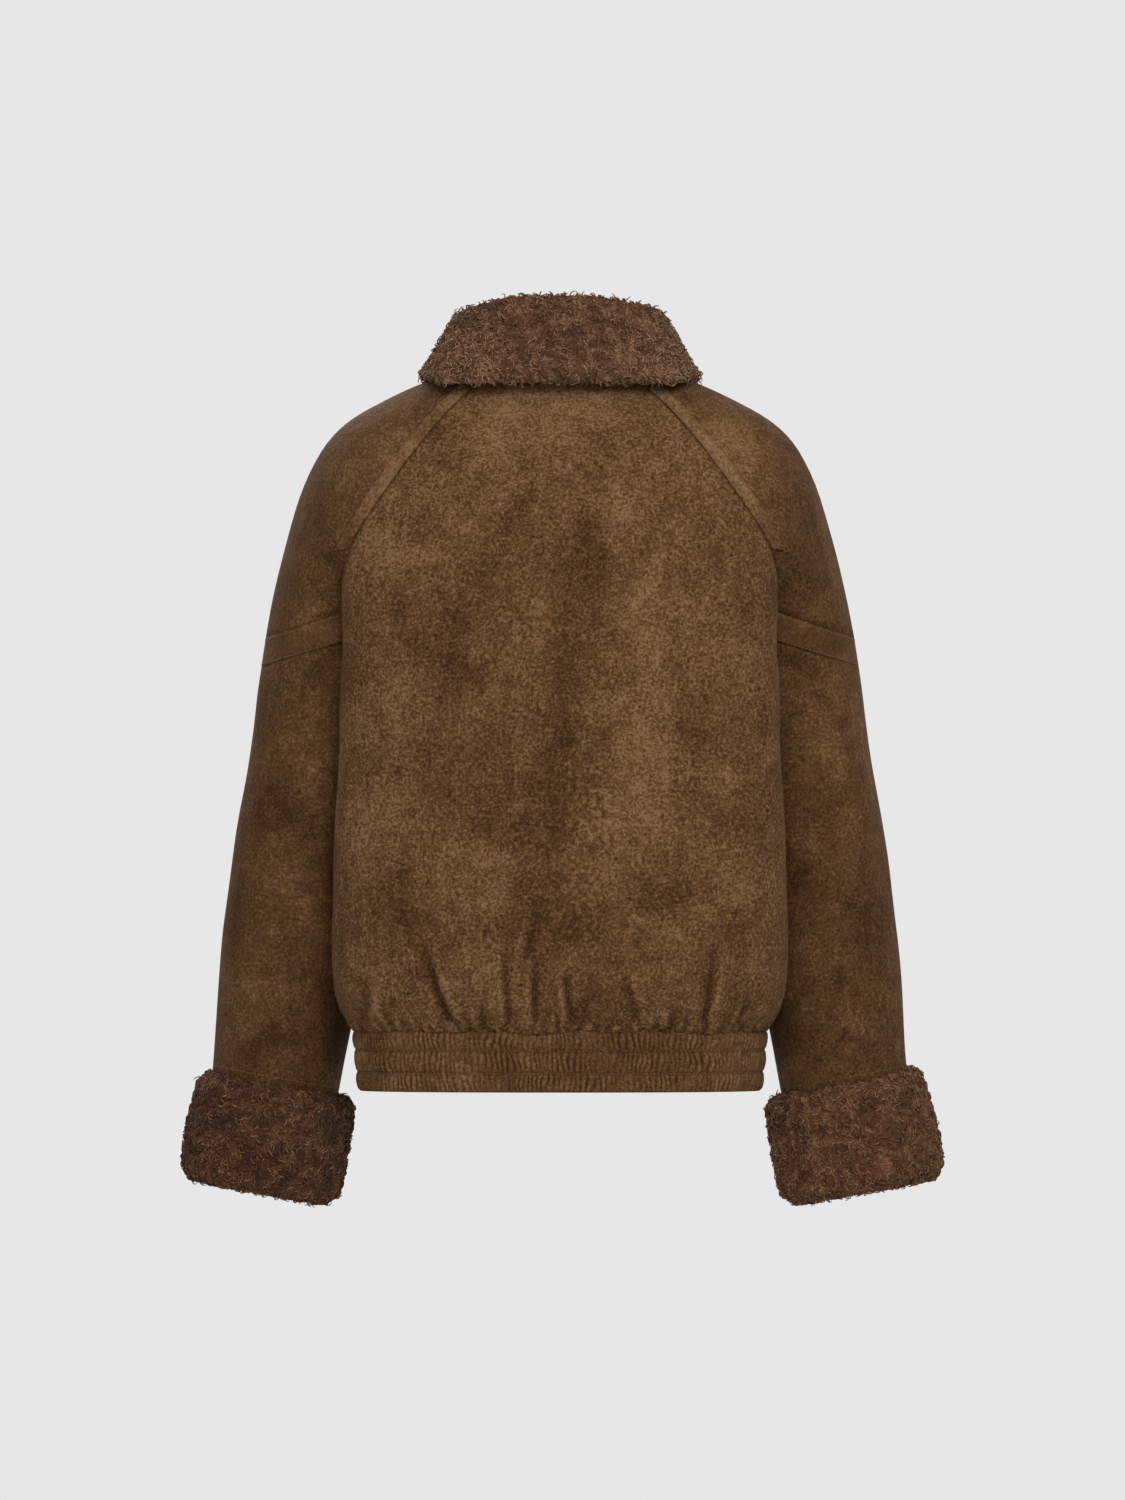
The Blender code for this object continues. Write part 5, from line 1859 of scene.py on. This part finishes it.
# ---- The hem band ------------------------------------------------------------------------------
@dataclass
class HemBand:
    """The gathered band round the bottom, sewn through along two lines over its elastic."""

    suede: bpy.types.Material
    seamstress: Seamstress
    back_cut: Cut = Cut(0.540, 0.056, 0.0295, "gathered")
    front_cut: Cut = Cut(0.255, 0.056, 0.0138, "gathered")
    top: float = -567.0 * MM
    bottom: float = -620.5 * MM
    channels: tuple[float, ...] = (-584.0 * MM, -604.0 * MM)
    rib_pitch: float = 4.6 * MM
    rib_height: float = 1.50 * MM
    ring_half: tuple[float, float] = (178.0 * MM, 122.0 * MM)
    ring_points: int = 721

    def ribs(self, points: np.ndarray) -> np.ndarray:
        """How far the gathered cloth rises between the elastic's folds.

        Args:
            points: The band's points.

        Returns:
            How far each rises, in metres.
        """
        place = round_body(points)
        height = points[:, 2]
        tier = np.searchsorted(-np.array(self.channels), -height).astype(float)
        turn = place * math.tau / self.rib_pitch + 2.3 * np.sin(place * 71.0 + tier)
        turn += 1.5 * np.sin(place * 163.0 + tier * 2.3)
        turn += 1.2 * np.sin(height * 210.0 + place * 37.0)
        turn += 0.8 * np.sin(place * 331.0 + height * 320.0 + tier)
        uneven = 0.85 + 0.30 * np.sin(place * 113.0 + tier * 1.7 + 1.5 * np.sin(height * 150.0))
        uneven *= 0.90 + 0.18 * np.sin(place * 43.0 + height * 90.0)
        lines = np.array([self.top, *self.channels, self.bottom])
        gap = np.abs(height[:, None] - lines[None]).min(axis=1)
        sewn = 0.45 + 0.55 * smooth(gap / 0.005)
        crest = 0.40 - 1.60 * np.exp(2.2 * (np.cos(turn) - 1.0))
        pinch = -0.80 * np.exp(-((gap / 0.0010) ** 2)) * self.rib_height
        zip_fade = smooth((np.hypot(points[:, 0], np.minimum(points[:, 1], 0.0)) - 0.010) / 0.010)
        return (crest * self.rib_height * uneven * sewn + pinch) * zip_fade

    def build(self, frame: Frame) -> list[bpy.types.Object]:
        """Builds the band's three pieces and its channel stitching.

        Args:
            frame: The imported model.

        Returns:
            The band's pieces.
        """
        cuts = (
            ("hem_back", self.back_cut),
            ("hem_front_left", self.front_cut),
            ("hem_front_right", self.front_cut),
        )
        made = []
        for name, cut in cuts:
            panel = Panel(name, cut, self.suede, relief=self.ribs, shade_depth=1.9 * MM).build(frame)
            made.append(panel.piece)
            surface = surface_of([panel.piece])
            lines = []
            for level in self.channels:
                lines += self.channel_line(surface, level)
            self.seamstress.stitches(f"channel_stitches_{name}", lines)
        return made

    def channel_line(self, surface: BVHTree, level: float) -> list[PlacesAndWays]:
        """Sets a level ring round the torso down on the band and divides it into stitches.

        Args:
            surface: The band's cloth.
            level: The ring's height.

        Returns:
            For each unbroken line its points and normals.
        """
        turns = np.linspace(0.0, math.tau, self.ring_points)
        wide, deep = self.ring_half
        heights = np.full(len(turns), level)
        path = np.stack([wide * np.sin(turns), -deep * np.cos(turns), heights], axis=1)
        places, normals = set_down(surface, path, out_of_body(path), 50.0 * MM, 90.0 * MM)
        lines = []
        for line, _ in split_runs(places, normals, ~np.isnan(places[:, 0])):
            even = evenly(line, self.seamstress.pitch)
            if len(even) > 0:
                lines.append((even, out_of_body(even)))
        return lines


# ---- The zip -----------------------------------------------------------------------------------
TAPE_EDGE_OUT = 0.9 * MM
TAPE_EDGE_IN = 0.14 * MM


def sewn_to_fronts(points: np.ndarray) -> np.ndarray:
    """A tape's outer edge let into its front, and its inner edge drawn up to the other tape.

    Args:
        points: The tape's points, which are moved.

    Returns:
        The same points.
    """
    side = np.sign(points[:, 0])
    reach = np.abs(points[:, 0])
    points[:, 0] += side * TAPE_EDGE_OUT * (reach > 5.0 * MM)
    points[:, 0] -= side * TAPE_EDGE_IN * (reach < 1.0 * MM)
    return points


def front_of(tape: BVHTree, x: float, z: float) -> float | None:
    """How far forward a tape lies at one place, or none where it is missed."""
    found, _, _, _ = tape.ray_cast(Vector((x, 0.3, z)), Vector((0.0, -1.0, 0.0)), 0.4)
    return None if found is None else found.y


TOOTH_OUTLINE = ((-0.5, 0.0), (-0.5, 0.62), (-0.34, 1.0), (0.34, 1.0), (0.5, 0.62), (0.5, 0.0))
TOOTH_SECTIONS = ((-0.15, 0.8), (0.25, 1.0), (1.0, 0.75))


@dataclass
class Zip:
    """The front zip: two woven tapes, their teeth, and the slider with its pull tab."""

    tape: bpy.types.Material
    brass: bpy.types.Material
    tape_cut: Cut = Cut(0.010, 0.560, 0.0047)
    top: float = -69.0 * MM
    bottom: float = -613.5 * MM
    pitch: float = 2.4 * MM
    end_box: tuple[float, float, float] = (4.6 * MM, 2.2 * MM, 6.6 * MM)
    reach: float = 1.9 * MM
    rise: float = 0.9 * MM
    tall: float = 1.15 * MM
    edge: float = 1.0 * MM

    def build(self, frame: Frame) -> None:
        """Builds the tapes and teeth, and gives the metal parts their finish.

        Args:
            frame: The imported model.
        """
        for hand, side in (("left", -1.0), ("right", 1.0)):
            tape = Panel(
                f"zip_tape_{hand}", self.tape_cut, self.tape, slot="zip_tape",
                fit=sewn_to_fronts, level=1,
            ).build(frame)
            surface = surface_of([tape.piece])
            self.teeth(f"zip_teeth_{hand}", surface, side)
        self.box_at_end(surface)
        for name in ("zip_slider", "zip_bail", "zip_pull_tab"):
            node = frame["nodes"][name]
            node.data.materials.clear()
            node.data.materials.append(self.brass)

    def box_at_end(self, tape: BVHTree) -> None:
        """Makes the small metal box that holds the two tapes together at their lower end.

        Args:
            tape: The surface of one tape, on which the box lies.
        """
        wide, deep, tall = self.end_box
        middle = self.bottom - tall / 2.0 + 0.4 * MM
        front = front_of(tape, self.edge, middle)
        bm = bmesh.new()
        bmesh.ops.create_cube(bm, size=1.0)
        bmesh.ops.scale(bm, vec=(wide, deep, tall), verts=bm.verts)
        edges = list(bm.edges)
        bmesh.ops.bevel(bm, geom=edges, offset=0.5 * MM, segments=3, affect="EDGES")
        bmesh.ops.translate(bm, vec=(0.0, front + 0.2 * MM, middle), verts=bm.verts)
        mesh = bpy.data.meshes.new("zip_end_box")
        bm.to_mesh(mesh)
        bm.free()
        mesh.shade_smooth()
        finished(linked("zip_end_box", mesh), self.brass, "zip_metal")

    def teeth(self, name: str, tape: BVHTree, side: float) -> None:
        """Makes one row of teeth along a tape's inner edge.

        Args:
            name: The piece's name.
            tape: The tape's surface.
            side: The tape's side, 1 for the wearer's right and -1 for the left.
        """
        count = int((self.top - self.bottom) / self.pitch)
        shift = 0.5 if side > 0 else 0.0
        points = []
        faces = []
        for i in range(count):
            z = self.top - (i + shift) * self.pitch
            front = front_of(tape, side * self.edge, z)
            if front is None:
                continue
            faces += tube_faces(len(points), len(TOOTH_SECTIONS), len(TOOTH_OUTLINE))
            for x, narrow in TOOTH_SECTIONS:
                for up, out in TOOTH_OUTLINE:
                    y = front + out * self.rise * (0.85 + 0.15 * narrow) - 0.1 * MM
                    points.append((side * x * self.reach, y, z + up * self.tall * narrow))
        piece = piece_from_arrays(name, np.array(points), np.array(faces))
        close_ends(piece)
        finished(piece, self.brass, "zip_metal")
        LOG.info("%s: %d teeth", name, count)


# ---- Studio ------------------------------------------------------------------------------------
@dataclass(frozen=True)
class SoftBox:
    """A large soft lamp aimed at the jacket."""

    name: str
    place: tuple[float, float, float]
    width: float
    height: float
    power: float
    colour: Colour = (1.0, 1.0, 1.0)

    def build(self, target: Vector) -> None:
        """Hangs the lamp.

        Args:
            target: What it is aimed at.
        """
        lamp = bpy.data.lights.new(self.name, "AREA")
        lamp.shape = "RECTANGLE"
        lamp.size = self.width
        lamp.size_y = self.height
        lamp.energy = self.power
        lamp.color = self.colour
        hung = bpy.data.objects.new(self.name, lamp)
        hung.location = self.place
        hung.rotation_euler = (target - Vector(self.place)).to_track_quat("-Z", "Y").to_euler()
        bpy.context.scene.collection.objects.link(hung)


@dataclass(frozen=True)
class Studio:
    """The camera, the lamps, the pale surroundings and the floor."""

    middle: tuple[float, float, float] = (0.0022, -0.02, -0.321)
    distance: float = 14.0
    view_height: float = 1.32
    sensor: float = 36.0
    surroundings: Colour = srgb(231.0, 231.0, 231.0)
    ambient: float = 0.45
    far_end: float = 50.0
    floor_level: float = -1.5
    floor_radius: float = 2.8
    floor_sides: int = 96
    lit: tuple[float, float, float] = (0.0, 0.0, -0.30)
    lamps: tuple[SoftBox, ...] = (
        SoftBox("key", (1.0, -3.0, 1.7), 2.2, 1.6, 70.0),
        SoftBox("fill", (-1.9, -2.8, 0.0), 1.6, 2.2, 10.0),
        SoftBox("front_key", (-1.0, 3.0, 1.7), 2.2, 1.6, 70.0),
        SoftBox("front_fill", (1.9, 2.8, 0.0), 1.6, 2.2, 10.0),
    )

    def build(self) -> None:
        """Builds everything that is not the jacket."""
        scene = bpy.context.scene
        scene.view_settings.view_transform = "Standard"
        camera = bpy.data.cameras.new("camera")
        camera.sensor_fit = "VERTICAL"
        camera.sensor_height = self.sensor
        camera.lens = self.sensor * self.distance / self.view_height
        camera.clip_end = self.far_end
        stand = bpy.data.objects.new("camera", camera)
        stand.location = (self.middle[0], self.middle[1] - self.distance, self.middle[2])
        stand.rotation_euler = (math.pi / 2, 0.0, 0.0)
        scene.collection.objects.link(stand)
        scene.camera = stand
        for lamp in self.lamps:
            lamp.build(Vector(self.lit))
        self.world(scene)
        self.floor()

    def world(self, scene: bpy.types.Scene) -> None:
        """Pale surroundings, which light the jacket less than they show.

        Args:
            scene: The scene that gets them.
        """
        world = bpy.data.worlds.new("surroundings")
        world.use_nodes = True
        world.node_tree.nodes.clear()
        nodes = Nodes(world.node_tree)
        shown = nodes.node("ShaderNodeBackground", None, {"Color": self.surroundings})
        soft = {"Color": (1.0, 0.99, 0.97), "Strength": self.ambient}
        light = nodes.node("ShaderNodeBackground", None, soft)
        seen = nodes.node("ShaderNodeLightPath").outputs["Is Camera Ray"]
        values = {0: seen, 1: light.outputs[0], 2: shown.outputs[0]}
        mixed = nodes.node("ShaderNodeMixShader", None, values)
        nodes.node("ShaderNodeOutputWorld", None, {0: mixed.outputs[0]})
        scene.world = world

    def floor(self) -> None:
        """A plain pale disc well below the jacket."""
        sides = self.floor_sides
        turns = np.linspace(0.0, math.tau, sides + 1)[:-1]
        ring = np.stack([np.cos(turns), np.sin(turns), np.zeros(sides)], axis=1) * self.floor_radius
        ring[:, 2] = self.floor_level
        points = np.vstack([ring, [(0.0, 0.0, self.floor_level)]])
        faces = np.array([(k, (k + 1) % sides, sides) for k in range(sides)])
        disc = piece_from_arrays("floor", points, faces)
        shader = Shader("pale_floor")
        mottle = shader.noise(0.6, 2.0)
        shader.set(Base_Color=shader.mixed(mottle, srgb(226, 226, 226), srgb(232, 232, 232)))
        shader.set(Roughness=0.9)
        disc.data.materials.append(shader.material)


def main() -> None:
    """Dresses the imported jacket."""
    logging.basicConfig(level=logging.INFO, format="%(name)s %(message)s")
    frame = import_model()
    Studio().build()

    body_suede = Suede("suede_body", -0.02).material()
    # The sleeves' suede is darker than the body's: partly its own tone, partly painted shade where
    # the sleeves lie back and turn away.
    sleeve_suede = Suede("suede_sleeves", -0.14, speckle=0.75).material()
    welt_suede = Suede("suede_welts", 0.22, grain=0.0030, speckle=0.7).material()
    band_suede = Suede("suede_bands", -0.10, grain=0.0030, speckle=0.5).material()
    hem_suede = Suede("suede_hem", -0.02, speckle=0.65).material()
    seamstress = Seamstress(Thread("sewing_thread").material())

    body = Body(body_suede, welt_suede, seamstress).build(frame)
    sleeves = []
    for hand in HANDS:
        sleeves += Sleeve(hand, sleeve_suede, band_suede, seamstress).build(frame)
    HemBand(hem_suede, seamstress).build(frame)

    collar = Pelt(
        "collar", Cut(0.460, 0.165, 0.069), Shearling("collar_wool", 0.09).material(),
        seed=11, locks=22000, parts=2, drop=1.6 * MM, fit=settled_collar, patches=COLLAR_PATCHES,
    )
    collar.build(frame, body + sleeves)
    for number, hand in enumerate(HANDS):
        # Painted light and shade: the left cuff's wool is painted darker and the right one's
        # lighter, as the light falls from the right.
        tone = -0.11 if hand == "left" else 0.07
        wool = Shearling(
            f"cuff_wool_{hand}", tone,
            root=srgb(48, 23, 10), middle=srgb(108, 67, 39), tip=srgb(174, 130, 92),
        ).material()
        cuff = Pelt(
            f"cuff_{hand}", Cut(0.360, 0.115, 0.0405), wool,
            seed=21 + number, locks=11800, sink=0.3 * MM, drop=8.0 * MM, drop_from=-660.0 * MM,
            fit=flared_cuff,
        )
        cuff.build(frame, sleeves)
    Zip(WovenTape("zip_tape").material(), Brass("aged_brass").material()).build(frame)

    LOG.info("sizes written")


if __name__ == "__main__":
    main()
